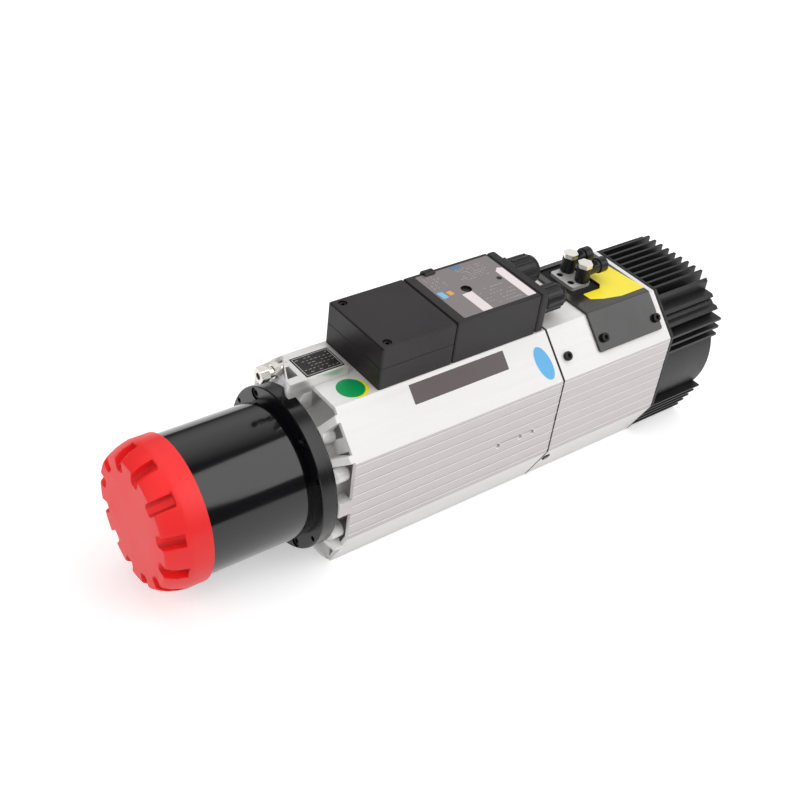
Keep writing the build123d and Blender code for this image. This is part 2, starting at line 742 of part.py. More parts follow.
FRONT_ROW = (FRONT_BEARING_WIDTH, FRONT_SEAT_R, FRONT_BEARING_OD_R, FRONT_PITCH_R, FRONT_BALL_R)
REAR_ROW = (REAR_BEARING_WIDTH, REAR_SEAT_R, REAR_BEARING_OD_R, REAR_PITCH_R, REAR_BALL_R)
BEARING_ROWS = [(BEARING_1, *FRONT_ROW), (BEARING_2, *FRONT_ROW), (REAR_BEARING, *REAR_ROW)]
BALL_COUNTS = (FRONT_BALLS, FRONT_BALLS, REAR_BALLS)


def shaft_locknuts():
    """Round lock nuts behind the front and the rear bearings."""
    front_start = BEARING_END
    front = tube_x(FRONT_SEAT_R + 8, FRONT_SEAT_R + SEAT, front_start, front_start + 10)
    rear = tube_x(REAR_SEAT_R + 7, REAR_SEAT_R + SEAT, REAR_BEARING_END, REAR_BEARING_END + 7)
    slot_f = block(front_start - 1, front_start + 11, -2.5, 2.5, FRONT_SEAT_R + 5.5, FRONT_SEAT_R + 10)
    slot_r = block(REAR_BEARING_END - 1, REAR_BEARING_END + 8, -2, 2, REAR_SEAT_R + 5, REAR_SEAT_R + 9)
    return [minus(front, ring_of(slot_f, 4)), minus(rear, ring_of(slot_r, 4))]


def stator_core():
    """Laminated ring with open slots towards the rotor."""
    ring = tube_x(TUBE_BORE_R - SEAT, STATOR_BORE_R, STATOR_START, STATOR_END)
    return minus(ring, ring_of(stator_slot(0.0), STATOR_SLOTS))


def stator_slot(gap):
    """Space of one slot, or its copper when a gap is given."""
    low = STATOR_BORE_R + (1.0 if gap else -1.0)
    high = TUBE_BORE_R - 6.0 - gap
    extra = 1.0 if gap else 2.0
    width = SLOT_WIDTH / 2 - gap
    return block(STATOR_START - extra, STATOR_END + extra, -width, width, low, high)


def stator_windings():
    """Copper in the slots, joined by a ring of end turns at each end."""
    low = STATOR_BORE_R + 1.0
    high = TUBE_BORE_R - 6.0 - FREE
    copper = ring_of(stator_slot(FREE), STATOR_SLOTS)
    for start in (STATOR_START - 1 - END_TURN_LENGTH, STATOR_END + 1):
        turns = tube_x(high, low, start, start + END_TURN_LENGTH)
        turns = fillet(turns.edges().filter_by(GeomType.CIRCLE), min(3.0, (high - low) / 3))
        copper.append(turns)
    return union(copper)


def rotor_core():
    """Solid cage rotor on the shaft."""
    return tube_x(ROTOR_R, ROTOR_SEAT_R + SEAT, STATOR_START - 2, STATOR_END + 2)


def rear_bearing_plate():
    """Turned plate in the tube bore that carries the rear bearing."""
    start = REAR_PLATE_START
    lip_r = REAR_BEARING_OD_R - 4
    hub_r = REAR_BEARING_OD_R + 7
    return turned([
        (start, lip_r),
        (start, TUBE_BORE_R - SEAT),
        (start + 12, TUBE_BORE_R - SEAT),
        (start + 12, hub_r),
        (REAR_BEARING_END + 8, hub_r),
        (REAR_BEARING_END + 8, REAR_BEARING_OD_R + SEAT),
        (REAR_BEARING, REAR_BEARING_OD_R + SEAT),
        (REAR_BEARING, lip_r),
    ])


def sensor_ring():
    """Toothed speed ring on the end of the shaft."""
    start = SHAFT_END - 4
    ring = tube_x(SENSOR_RING_R, REAR_SEAT_R + SEAT, start, SHAFT_END)
    notch = block(start - 1, SHAFT_END + 1, -1.5, 1.5, SENSOR_RING_R - 2.5, SENSOR_RING_R + 2)
    return minus(ring, ring_of(notch, 12))


def position_sensors():
    """Two proximity sensors on a ring behind the bearing plate."""
    start = REAR_BEARING_END + 8
    carrier = tube_x(REAR_BEARING_OD_R + 7, REAR_BEARING_OD_R + SEAT, start, SHAFT_END + 2)
    tip_r = SENSOR_RING_R + 0.8
    sensor = Pos(SHAFT_END - 2, 0, 0) * Cylinder(1.9, REAR_BEARING_OD_R + 10 - tip_r,
                                                  align=(Align.CENTER, Align.CENTER, Align.MIN))
    sensor = Pos(0, 0, tip_r) * sensor
    return union([carrier] + ring_of(sensor, 2, 90))


def drawbar():
    """Pull rod with a grooved head for the fingers and a push button behind."""
    head_x = FINGER_PIVOT_X
    return turned([
        (head_x - 7, 0),
        (head_x - 7, 5.0),
        (head_x - 6.5, 5.5),
        (head_x - 3, 5.5),
        (head_x - 3, 3.5),
        (head_x + 3, 3.5),
        (head_x + 3, DRAWBAR_R),
        (DRAWBAR_END - 10, DRAWBAR_R),
        (DRAWBAR_END - 10, 9.0),
        (DRAWBAR_END - 1, 9.0),
        (DRAWBAR_END, 8.0),
        (DRAWBAR_END, 0),
    ])


def gripper_fingers():
    """Four claws hooked on the drawbar head that close on the tool's stud."""
    pivot = FINGER_PIVOT_X
    profile = make_face(Polyline([
        (GRIP_X, 4.6),
        (GRIP_X, FINGER_TIP_R),
        (GRIP_X + 1.5, FINGER_TIP_R),
        (GRIP_X + 1.5, 7.2),
        (pivot + 2.4, 7.2),
        (pivot + 2.4, 4.0),
        (pivot - 2.4, 4.0),
        (pivot - 2.4, 6.0),
        (GRIP_X + 4, 6.0),
        (GRIP_X + 4, 4.6),
    ], close=True))
    span = 360.0 / FINGERS - 10.0
    finger = Rot(-span / 2, 0, 0) * revolve(profile, Axis.X, revolution_arc=span)
    return ring_of(finger, FINGERS)


def disc_springs():
    """Stack of conical spring washers round the drawbar."""
    start = SPRING_SEAT_X + 0.1
    pitch = (SPRING_NUT_X - 0.1 - start) / SPRING_COUNT
    cone = pitch - SPRING_THICK - 0.05
    inner_r = DRAWBAR_R + FREE
    outer_r = CHAMBER_R - FREE
    stack = []
    for i in range(SPRING_COUNT):
        x = start + i * pitch
        rise_in, rise_out = (cone, 0.0) if i % 2 == 0 else (0.0, cone)
        stack.append(turned([
            (x + rise_in, inner_r),
            (x + rise_out, outer_r),
            (x + rise_out + SPRING_THICK, outer_r),
            (x + rise_in + SPRING_THICK, inner_r),
        ]))
    return stack


def spring_nut():
    """Nut on the drawbar that the springs push back."""
    return tube_x(CHAMBER_R - RUNNING, DRAWBAR_R + SEAT, SPRING_NUT_X, SPRING_NUT_X + 16)


# ---- Release cylinder ------------------------------------------------------

def cylinder_barrel():
    """Barrel with a front wall, air ports on top and two galleries."""
    front_wall = CYLINDER_START + 12
    barrel = turned([
        (CYLINDER_START, PISTON_ROD_R + RUNNING),
        (CYLINDER_START, TUBE_BORE_R - SEAT),
        (CYLINDER_END - 6, TUBE_BORE_R - SEAT),
        (CYLINDER_END - 6, CYLINDER_BORE_R),
        (front_wall, CYLINDER_BORE_R),
        (front_wall, PISTON_ROD_R + RUNNING),
    ])
    gallery_r = (CYLINDER_BORE_R + TUBE_BORE_R) / 2
    chambers = (front_wall + 4, CYLINDER_END - 16)
    for (x, y), chamber_x in zip(nipple_places(), chambers):
        z = sqrt(gallery_r ** 2 - y ** 2)
        barrel = barrel - rod_z(NIPPLE_R + SEAT, z - 1, TOP_Z, x, y)
        barrel = barrel - rod_x(2.0, min(x, chamber_x), max(x, chamber_x), y, z)
        barrel = barrel - rod_z(2.0, z - 12, z, chamber_x, y)
    return barrel


def cylinder_cap():
    """Rear cap of the cylinder, its spigot inside the barrel."""
    face = CYLINDER_END - 6
    cap = rod_x(CYLINDER_BORE_R - SEAT, face - 6, face) + rod_x(TUBE_BORE_R - SEAT, face, CYLINDER_END)
    return cap


def piston():
    """Piston and rod: the rod's end pushes the drawbar."""
    groove_x = (PISTON_START + 5, PISTON_END - 5)
    body = turned([
        (DRAWBAR_END + FREE, 0),
        (DRAWBAR_END + FREE, PISTON_ROD_R - 1),
        (DRAWBAR_END + FREE + 1, PISTON_ROD_R),
        (PISTON_START, PISTON_ROD_R),
        (PISTON_START, CYLINDER_BORE_R - RUNNING),
        (PISTON_END, CYLINDER_BORE_R - RUNNING),
        (PISTON_END, 0),
    ])
    return minus(body, [tube_x(CYLINDER_BORE_R + 1, SEAL_R - 2, x - 2, x + 2) for x in groove_x])


def piston_seals():
    """Two rubber rings in the piston grooves."""
    seal = Rot(0, 90, 0) * Torus(SEAL_R, CYLINDER_BORE_R - SEAL_R - RUNNING)
    return [Pos(x, 0, 0) * seal for x in (PISTON_START + 5, PISTON_END - 5)]


# ---- Fan and finned cover ---------------------------------------------------

def fin_outline():
    """Round core, upright fins above and below, level fins on both sides."""
    reach = 120.0
    fins = [Circle(COVER_CORE_R)]
    for i in range(-TOP_FINS_EACH_SIDE, TOP_FINS_EACH_SIDE + 1):
        fins.append(Pos(i * FIN_PITCH, 0) * Rectangle(FIN_THICK, 2 * reach))
    edge = TOP_FINS_EACH_SIDE * FIN_PITCH
    levels = [SHOULDER_Z - 1.0 + FIN_PITCH * i for i in (-2, -1, 0, 1, 2)]
    levels += [SIDE_LOW_Z - 1.0 - FIN_PITCH * i for i in range(5)]
    for z in levels:
        for side in (-1, 1):
            fins.append(Pos(side * (edge + reach) / 2, z) * Rectangle(reach - edge, FIN_THICK))
    for angle in CORNER_ANGLES:
        fins.append(Rot(0, 0, angle) * Pos(SCREW_CIRCLE_R, 0) * Circle(TIE_BOSS_R))
    return union(fins) & body_outline()


def finned_cover():
    """Cast rear cover with fins, a fan duct and a spider for the fan motor."""
    body = prism(fin_outline(), COVER_START, COVER_END)
    body = body + prism(body_outline(0.4), COVER_START, COVER_START + 2.5)
    body = body - rod_x(FAN_BORE_R, COVER_START - 1, COVER_END + 1)
    spider = [rod_x(FAN_MOTOR_R + 3, SPIDER_X, SPIDER_X + SPIDER_THICK)]
    arm = block(SPIDER_X, SPIDER_X + SPIDER_THICK, -4.5, 4.5, FAN_MOTOR_R, FAN_BORE_R + 1)
    spider += ring_of(arm, 4, 45)
    body = body + union(spider)
    body = body - rod_x(FAN_SHAFT_R + 4, SPIDER_X - 1, SPIDER_X + SPIDER_THICK + 1)
    lug = block(GRILLE_X - 6, GRILLE_X, -5, 5, FAN_BORE_R - 7, FAN_BORE_R + 1)
    lug = lug - rod_x(M4_R + SEAT, GRILLE_X - 7, GRILLE_X + 1, 0, GRILLE_SCREW_R)
    body = body + union(ring_of(lug, 4, 0))
    body = minus(body, corner_rods(M5_R + FREE, COVER_START - 1, COVER_END + 1))
    return minus(body, corner_rods(M5_HEAD_R + FREE, COVER_END - M5_HEAD - 1, COVER_END + 1))


def tie_rods():
    """Four long screws that hold cover and rear housing to the main body."""
    length = COVER_END - M5_HEAD - 1 - (HOUSING_END - TIE_ROD_GRIP)
    screw = Rot(0, 90, 0) * cap_screw(M5_R, M5_HEAD_R, M5_HEAD, length)
    places = []
    for angle in CORNER_ANGLES:
        y = SCREW_CIRCLE_R * cos(radians(angle))
        z = SCREW_CIRCLE_R * sin(radians(angle))
        places.append(Pos(COVER_END - M5_HEAD - 1, y, z) * screw)
    return places


def fan_motor():
    """Small round motor on the spider, with a bore for the fan's shaft."""
    body = rod_x(FAN_MOTOR_R, SPIDER_X - 26, SPIDER_X)
    body = body + rod_x(FAN_SHAFT_R + 3.8, SPIDER_X, SPIDER_X + SPIDER_THICK)
    return body - rod_x(FAN_SHAFT_R + RUNNING, SPIDER_X - 20, SPIDER_X + SPIDER_THICK + 1)


def fan_impeller():
    """Hub with pitched blades and a shaft that runs in the motor."""
    start = SPIDER_X + SPIDER_THICK + 1.5
    hub = rod_x(FAN_HUB_R, start, start + 20)
    hub = fillet(hub.edges().filter_by(GeomType.CIRCLE).sort_by(Axis.X)[-1:], 3.0)
    blade = Pos(start + 10, 0, (FAN_HUB_R + FAN_R) / 2 - 1) * Rot(0, 0, 35)
    blade = blade * Box(2.2, 26, FAN_R - FAN_HUB_R + 2)
    duct = rod_x(FAN_R, start - 1, start + 21)
    blades = [item & duct for item in ring_of(blade, FAN_BLADES)]
    return union([hub, rod_x(FAN_SHAFT_R, SPIDER_X - 18, start)] + blades)


def fan_grille():
    """Round guard: rings joined by spokes."""
    end = GRILLE_X + GRILLE_THICK
    parts = [tube_x(FAN_BORE_R - FREE, FAN_BORE_R - 7, GRILLE_X, end), rod_x(8, GRILLE_X, end)]
    for i in range(1, 6):
        r = 8 + i * (FAN_BORE_R - 14) / 6
        parts.append(tube_x(r + 1.2, r - 1.2, GRILLE_X, end))
    parts += ring_of(block(GRILLE_X, end, -1.5, 1.5, 6, FAN_BORE_R - 5), 6, 15)
    grille = union(parts)
    hole = rod_x(M4_R + SEAT, GRILLE_X - 1, end + 1, 0, GRILLE_SCREW_R)
    return minus(grille, ring_of(hole, 4, 0))


# ---- Terminal box and glands ---------------------------------------------

def box_shell(x0, x1, z0, z1, edge):
    """Outer block of one box part, with softened upright edges."""
    half = BOX_WIDTH / 2
    body = block(x0, x1, -half, half, z0, z1)
    return fillet(body.edges().filter_by(Axis.Z), edge)


def terminal_box():
    """Lower half of the terminal box: floor, walls and wire hole."""
    half = BOX_WIDTH / 2 - BOX_WALL
    body = box_shell(BOX_START, BOX_SPLIT, TOP_Z, BOX_SEAM_Z, 2.0)
    inside = block(BOX_START + BOX_WALL, BOX_SPLIT - BOX_WALL, -half, half, TOP_Z + BOX_WALL, BOX_SEAM_Z + 1)
    body = body - inside
    for x, y in lid_screw_places():
        body = body + rod_z(M4_R + 3, TOP_Z + 1, BOX_SEAM_Z, x, y)
        body = body - rod_z(M4_R + SEAT, TOP_Z + 4, BOX_SEAM_Z + 1, x, y)
    return body - rod_z(WIRE_HOLE_R, TOP_Z - 1, TOP_Z + BOX_WALL + 1, WIRE_X, WIRE_Y)


def lid_screw_places():
    """Two screws at the front of the lid."""
    y = BOX_WIDTH / 2 - LID_SCREW_INSET + 2
    return [(BOX_START + LID_SCREW_INSET, side * y) for side in (-1, 1)]


def terminal_lid():
    """Upper half of the terminal box with sunk screws and a sloped rear edge."""
    half = BOX_WIDTH / 2 - BOX_WALL
    low = BOX_SEAM_Z + BOX_JOINT
    body = box_shell(BOX_START, BOX_SPLIT, low, BOX_TOP, 2.0)
    top = body.edges().group_by(Axis.Z)[-1]
    body = chamfer(top, 1.2)
    inside = block(BOX_START + BOX_WALL, BOX_SPLIT - BOX_WALL, -half, half, low - 1, BOX_TOP - BOX_WALL)
    body = body - inside
    for x, y in lid_screw_places():
        body = body + rod_z(M4_R + 3.4, low, BOX_TOP - BOX_WALL + 1, x, y)
        body = body - rod_z(M4_R + SEAT, low - 1, BOX_TOP + 1, x, y)
        body = body - rod_z(M4_HEAD_R + 0.4, BOX_TOP - LID_SCREW_SINK, BOX_TOP + 1, x, y)
    return body


def lid_screws():
    """Two socket screws sunk in the lid."""
    length = BOX_TOP - LID_SCREW_SINK - BOX_SEAM_Z + 10
    screw = cap_screw(M4_R, M4_HEAD_R, M4_HEAD, length)
    return [Pos(x, y, BOX_TOP - LID_SCREW_SINK) * screw for x, y in lid_screw_places()]


def terminal_block():
    """Row of terminals on the floor of the box."""
    x0 = BOX_START + 26
    body = block(x0, x0 + 24, -26, 26, TOP_Z + BOX_WALL, TOP_Z + BOX_WALL + 9)
    for i in range(7):
        y = -24 + 8 * i
        body = body + block(x0, x0 + 24, y - 0.8, y + 0.8, TOP_Z + BOX_WALL + 8, TOP_Z + BOX_WALL + 14)
    return body


def connector_block():
    """Long hollow block behind the terminal box, open towards the end cover."""
    start = BOX_SPLIT + BOX_JOINT
    half = BOX_WIDTH / 2
    body = box_shell(start, END_COVER_START, TOP_Z, BOX_TOP, 2.0)
    body = chamfer(body.edges().group_by(Axis.Z)[-1], 1.2)
    inner = half - BOX_WALL
    ceiling = BOX_TOP - BOX_WALL
    body = body - block(start + BOX_WALL, END_COVER_START + 1, -inner, inner, TOP_Z + BOX_WALL, ceiling)
    latch = rod_x(4.5, BOX_SPLIT + 20, BOX_SPLIT + 30, half - 3.2, BOX_TOP - 1.5)
    centre_x = (BOX_SPLIT + END_COVER_START) / 2 - 7
    body = body + latch - block(start + BOX_WALL, END_COVER_START, -inner, inner, BOX_SEAM_Z, ceiling)
    body = body + rod_z(7, BOX_TOP - 5, BOX_TOP - 1, centre_x, 0)
    body = body - rod_z(5, BOX_TOP - 2, BOX_TOP + 4, centre_x, 0)
    return body


def end_cover():
    """Thick plate that closes the block and carries both glands."""
    body = box_shell(END_COVER_START + BOX_JOINT, END_COVER_END, TOP_Z, BOX_TOP - 0.6, 3.0)
    body = chamfer(body.edges().group_by(Axis.X)[-1], 1.0)
    for thread, (y, z) in zip(GLAND_THREAD_R, gland_places()):
        body = body - rod_x(thread + SEAT, END_COVER_START - 1, END_COVER_END + 1, y, z)
    return body


def gland_places():
    """Y and Z of the power gland and the smaller signal gland."""
    y = BOX_WIDTH / 2 - GLAND_EDGE
    return ((y, TOP_Z + GLAND_RISE[0]), (-y, TOP_Z + GLAND_RISE[1]))


def gland_body(across_flats, thread, bore):
    """Threaded body with a hexagon against the end cover."""
    body = rod_x(thread, END_COVER_START - 2, END_COVER_END)
    body = body + prism(hex_outline(across_flats), END_COVER_END, END_COVER_END + 6)
    body = body + rod_x(thread - 2, END_COVER_END + 5, END_COVER_END + 16)
    return body - rod_x(bore + 0.8, END_COVER_START - 3, END_COVER_END + 20)


def gland_bodies():
    """Bodies of both glands."""
    sizes = zip(GLAND_AF, GLAND_THREAD_R, GLAND_BORE_R)
    return [Pos(0, *place) * gland_body(*size) for size, place in zip(sizes, gland_places())]


def gland_nut(across_flats, thread, bore, length):
    """Ribbed dome nut that squeezes the cable seal."""
    start = END_COVER_END + 6.3
    end = start + length
    outer = across_flats / 2 - 0.5
    nut = turned([
        (start, thread - 2 + SEAT),
        (start, outer),
        (end - 7, outer),
        (end - 3, outer - 1.5),
        (end, bore + 1.5),
        (end, bore),
        (end - 12, bore),
        (end - 12, thread - 2 + SEAT),
    ])
    rib = rod_x(1.0, start + 1, end - 8, 0, outer + 0.1)
    return union([nut] + ring_of(rib, 14))


def gland_nuts():
    """Dome nuts of both glands."""
    sizes = zip(GLAND_AF, GLAND_THREAD_R, GLAND_BORE_R, GLAND_NUT_LENGTH)
    return [Pos(0, *place) * gland_nut(*size) for size, place in zip(sizes, gland_places())]


# ---- Cover plate, manifold and elbows --------------------------------------

def cover_plate():
    """Bent sheet over the top flat and both slanted facets."""
    slope = sqrt(0.5)
    end_y = TOP_FLAT / 2 + COVER_PLATE_DROP * slope
    end_z = TOP_Z - COVER_PLATE_DROP * slope
    reach = 8.0
    zone = make_face(Polyline([
        (end_y - reach, end_z - reach),
        (end_y + reach, end_z + reach),
        (end_y + reach, TOP_Z + 20),
        (-end_y - reach, TOP_Z + 20),
        (-end_y - reach, end_z + reach),
        (-end_y + reach, end_z - reach),
    ], close=True))
    sheet = offset(body_outline(), COVER_PLATE_THICK, kind=Kind.INTERSECTION) - body_outline()
    body = prism(sheet & zone, PLATE_START, PLATE_START + COVER_PLATE_LENGTH)
    x0 = MANIFOLD_CENTRE_X - MANIFOLD_LENGTH / 2 - 7
    x1 = MANIFOLD_CENTRE_X + MANIFOLD_LENGTH / 2 + 7
    half = MANIFOLD_WIDTH / 2 + 9
    window = block(x0, x1, MANIFOLD_Y - half, MANIFOLD_Y + half, TOP_Z - 1, TOP_Z + 9)
    body = body - fillet(window.edges().filter_by(Axis.Z), 5.0)
    for plane in cover_screw_planes():
        body = minus(body, both_sides(plane * Cylinder(M5_R + FREE, 20)))
    upright = [edge for edge in body.edges() if abs(edge.length - COVER_PLATE_THICK) < 0.01]
    corners = [edge for edge in upright if edge.center().Z < (TOP_Z + end_z) / 2]
    return fillet(corners, 3.0)


def cover_screws():
    """Like screws of the cover plate, the joint and the nameplate block."""
    screw = cap_screw(M5_R, M5_HEAD_R, M5_LOW_HEAD, COVER_SCREW_LENGTH)
    seat = Pos(0, 0, COVER_PLATE_THICK)
    slanted = [plane * seat * screw for plane in cover_screw_planes()]
    slanted += [plane * screw for plane in joint_screw_planes()]
    placed = [item for one in slanted for item in both_sides(one)]
    for y in (PLATE_BLOCK_Y - BLOCK_SCREW_Y, PLATE_BLOCK_Y + BLOCK_SCREW_Y):
        placed.append(Pos(BLOCK_SCREW_X, y, TOP_Z + 3) * screw)
    return placed


def manifold_pad():
    """Black rubber pad under the manifold, filling the cover plate's window."""
    x0 = MANIFOLD_CENTRE_X - MANIFOLD_LENGTH / 2 - 7
    x1 = MANIFOLD_CENTRE_X + MANIFOLD_LENGTH / 2 + 7
    half = MANIFOLD_WIDTH / 2 + 9
    pad = block(x0 + 0.5, x1 - 0.5, MANIFOLD_Y - half + 0.5, MANIFOLD_Y + half - 0.5, TOP_Z, TOP_Z + 1)
    pad = fillet(pad.edges().filter_by(Axis.Z), 4.5)
    for x, y in nipple_places():
        pad = pad - rod_z(NIPPLE_R + FREE, TOP_Z - 1, TOP_Z + 2, x, y)
    for x, y in manifold_screw_places():
        pad = pad - rod_z(M4_R + FREE, TOP_Z - 1, TOP_Z + 2, x, y)
    return pad


def manifold_screw_places():
    """Two screws in front of the elbows."""
    x = MANIFOLD_CENTRE_X - MANIFOLD_LENGTH / 2 + 5.5
    return [(x, MANIFOLD_Y - 7.5), (x, MANIFOLD_Y + 7.5)]


def manifold_plate():
    """Air plate with two nipples down to the cylinder ports."""
    half_x = MANIFOLD_LENGTH / 2
    half_y = MANIFOLD_WIDTH / 2
    body = block(MANIFOLD_CENTRE_X - half_x, MANIFOLD_CENTRE_X + half_x,
                 MANIFOLD_Y - half_y, MANIFOLD_Y + half_y, TOP_Z + 1, MANIFOLD_TOP)
    body = fillet(body.edges().filter_by(Axis.Z), 3.0)
    gallery_r = (CYLINDER_BORE_R + TUBE_BORE_R) / 2
    for x, y in nipple_places():
        nipple_end = sqrt(gallery_r ** 2 - y ** 2)
        body = body + rod_z(NIPPLE_R, nipple_end, TOP_Z + 2, x, y)
        body = body - rod_z(BANJO_R + SEAT, TOP_Z - 4, MANIFOLD_TOP + 1, x, y)
        body = body - rod_z(2.0, nipple_end - 1, MANIFOLD_TOP, x, y)
    for x, y in manifold_screw_places():
        body = body - rod_z(M4_R + SEAT, TOP_Z, MANIFOLD_TOP + 1, x, y)
        sink = MANIFOLD_TOP - M4_LOW_HEAD - 0.2
        body = body - rod_z(M4_LOW_HEAD_R + 0.3, sink, MANIFOLD_TOP + 1, x, y)
    return body


def low_screws():
    """Like low screws: four in the guard's rim and two in the manifold."""
    screw = cap_screw(M4_R, M4_LOW_HEAD_R, M4_LOW_HEAD, M4_LOW_LENGTH)
    placed = ring_of(Pos(GRILLE_X + GRILLE_THICK, 0, GRILLE_SCREW_R) * Rot(0, 90, 0) * screw, 4)
    for x, y in manifold_screw_places():
        placed.append(Pos(x, y, MANIFOLD_TOP - M4_LOW_HEAD - 0.2) * screw)
    return placed


def banjo_bolts():
    """Hollow bolts that hold the elbows and let the air through."""
    bolts = []
    for x, y in nipple_places():
        head = extrude(hex_outline(BANJO_AF), amount=4.2)
        head = head & Cylinder(BANJO_AF / 2 + 0.7, 12)
        bolt = Pos(x, y, ELBOW_TOP + 0.2) * head + rod_z(BANJO_R, TOP_Z - 3, ELBOW_TOP + 1, x, y)
        bolt = bolt - rod_z(1.6, TOP_Z - 4, OUTLET_Z + 1, x, y)
        cross = Pos(x, y, OUTLET_Z) * Rot(0, 90, 0) * Cylinder(1.4, 4 * BANJO_R)
        bolts.append(bolt - cross)
    return bolts


def elbow(x, y):
    """Swivel elbow: ring round the bolt and a push-in outlet to the rear."""
    ring = rod_z(ELBOW_R, ELBOW_BASE, ELBOW_TOP, x, y)
    ring = chamfer(ring.edges().filter_by(GeomType.CIRCLE), 0.6)
    room_end = x + BANJO_AF / 2 + 1.5
    head_room = block(x - ELBOW_R, room_end, y - ELBOW_R, y + ELBOW_R, ELBOW_TOP, ELBOW_TOP + ELBOW_R)
    outlet = rod_x(ELBOW_R - 0.7, x, x + ELBOW_REACH - 8, y, OUTLET_Z) - head_room
    collar = rod_x(ELBOW_COLLAR_R, x + ELBOW_REACH - 9, x + ELBOW_REACH, y, OUTLET_Z)
    collar = chamfer(collar.edges().filter_by(GeomType.CIRCLE), 0.5)
    body = ring + outlet + collar
    body = body - rod_z(BANJO_R + RUNNING, ELBOW_BASE - 1, ELBOW_TOP + 1, x, y)
    tube_depth = 13.0
    body = body - rod_x(ELBOW_TUBE_R, x + ELBOW_REACH - tube_depth, x + ELBOW_REACH + 1, y, OUTLET_Z)
    return body - rod_x(2.5, x, x + ELBOW_REACH, y, OUTLET_Z)


# ---- Bearings and spacers ----------------------------------------------------

def bearing_spacers():
    """Outer spacer ring between the two front bearings."""
    start = BEARING_1 + FRONT_BEARING_WIDTH
    return tube_x(FRONT_BEARING_OD_R, FRONT_BEARING_OD_R - 4, start, BEARING_2)


def shaft_spacer():
    """Inner spacer ring on the shaft between the two front bearings."""
    start = BEARING_1 + FRONT_BEARING_WIDTH
    return tube_x(FRONT_SEAT_R + 4, FRONT_SEAT_R + SEAT, start, BEARING_2)


# ---- Write one file for each node --------------------------------------------

bearing_rings = [ball_bearing_rings(*row) for row in BEARING_ROWS]
cages = []
ball_rows = []
for (start, width, seat_r, od_r, pitch_r, ball_r), count in zip(BEARING_ROWS, BALL_COUNTS):
    cages.append(ball_cage(start, width, pitch_r, ball_r, count))
    ball_rows += balls(start, width, pitch_r, ball_r, count)

NODES = {
    "protective_cap": protective_cap(),
    "nose_sleeve": nose_sleeve(),
    "front_cover_ring": front_cover_ring(),
    "cover_ring_screws": cover_ring_screws(),
    "mounting_flange": mounting_flange(),
    "flange_screws": flange_screws(),
    "main_housing": main_housing(),
    "nameplate_block": nameplate_block(),
    "nameplate": nameplate(),
    "purge_fitting": purge_fitting(),
    "spindle_shaft": spindle_shaft(),
    "rotor_core": rotor_core(),
    "shaft_locknuts": shaft_locknuts(),
    "shaft_spacer": shaft_spacer(),
    "bearing_spacer": bearing_spacers(),
    "bearing_outer_rings": [rings[0] for rings in bearing_rings],
    "bearing_inner_rings": [rings[1] for rings in bearing_rings],
    "bearing_cages": cages,
    "bearing_balls": ball_rows,
    "stator_core": stator_core(),
    "stator_windings": stator_windings(),
    "rear_bearing_plate": rear_bearing_plate(),
    "sensor_ring": sensor_ring(),
    "position_sensors": position_sensors(),
    "drawbar": drawbar(),
    "disc_springs": disc_springs(),
    "spring_nut": spring_nut(),
    "housing_gasket": gasket(HOUSING_END),
    "rear_housing": rear_housing(),
    "side_plugs": side_plugs(),
    "cylinder_barrel": cylinder_barrel(),
    "cylinder_cap": cylinder_cap(),
    "piston": piston(),
    "piston_seals": piston_seals(),
    "rear_gasket": gasket(REAR_END),
    "finned_cover": finned_cover(),
    "tie_rods": tie_rods(),
    "fan_motor": fan_motor(),
    "fan_impeller": fan_impeller(),
    "fan_grille": fan_grille(),
    "terminal_box": terminal_box(),
    "terminal_lid": terminal_lid(),
    "lid_screws": lid_screws(),
    "terminal_block": terminal_block(),
    "connector_block": connector_block(),
    "end_cover": end_cover(),
    "gland_bodies": gland_bodies(),
    "gland_nuts": gland_nuts(),
    "cover_plate": cover_plate(),
    "cover_screws": cover_screws(),
    "manifold_pad": manifold_pad(),
    "manifold_plate": manifold_plate(),
    "low_screws": low_screws(),
    "banjo_bolts": banjo_bolts(),
}
for number, finger in enumerate(gripper_fingers(), start=1):
    NODES[f"gripper_finger_{number}"] = finger
for number, place in enumerate(nipple_places(), start=1):
    NODES[f"elbow_{number}"] = elbow(*place)

for name, shape in NODES.items():
    save(name, shape)
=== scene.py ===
# %% [markdown]
# # A motor spindle with a tool changer
# The CAD model gives every piece its true shape and place, in metres. This lesson
# dresses it: it rounds the edges that light catches, adds the small parts that
# repeat, lays on the blank labels, and gives each piece the finish of its material.

import json
import math

import bmesh
import bpy
import numpy as np
from mathutils import Matrix, Vector

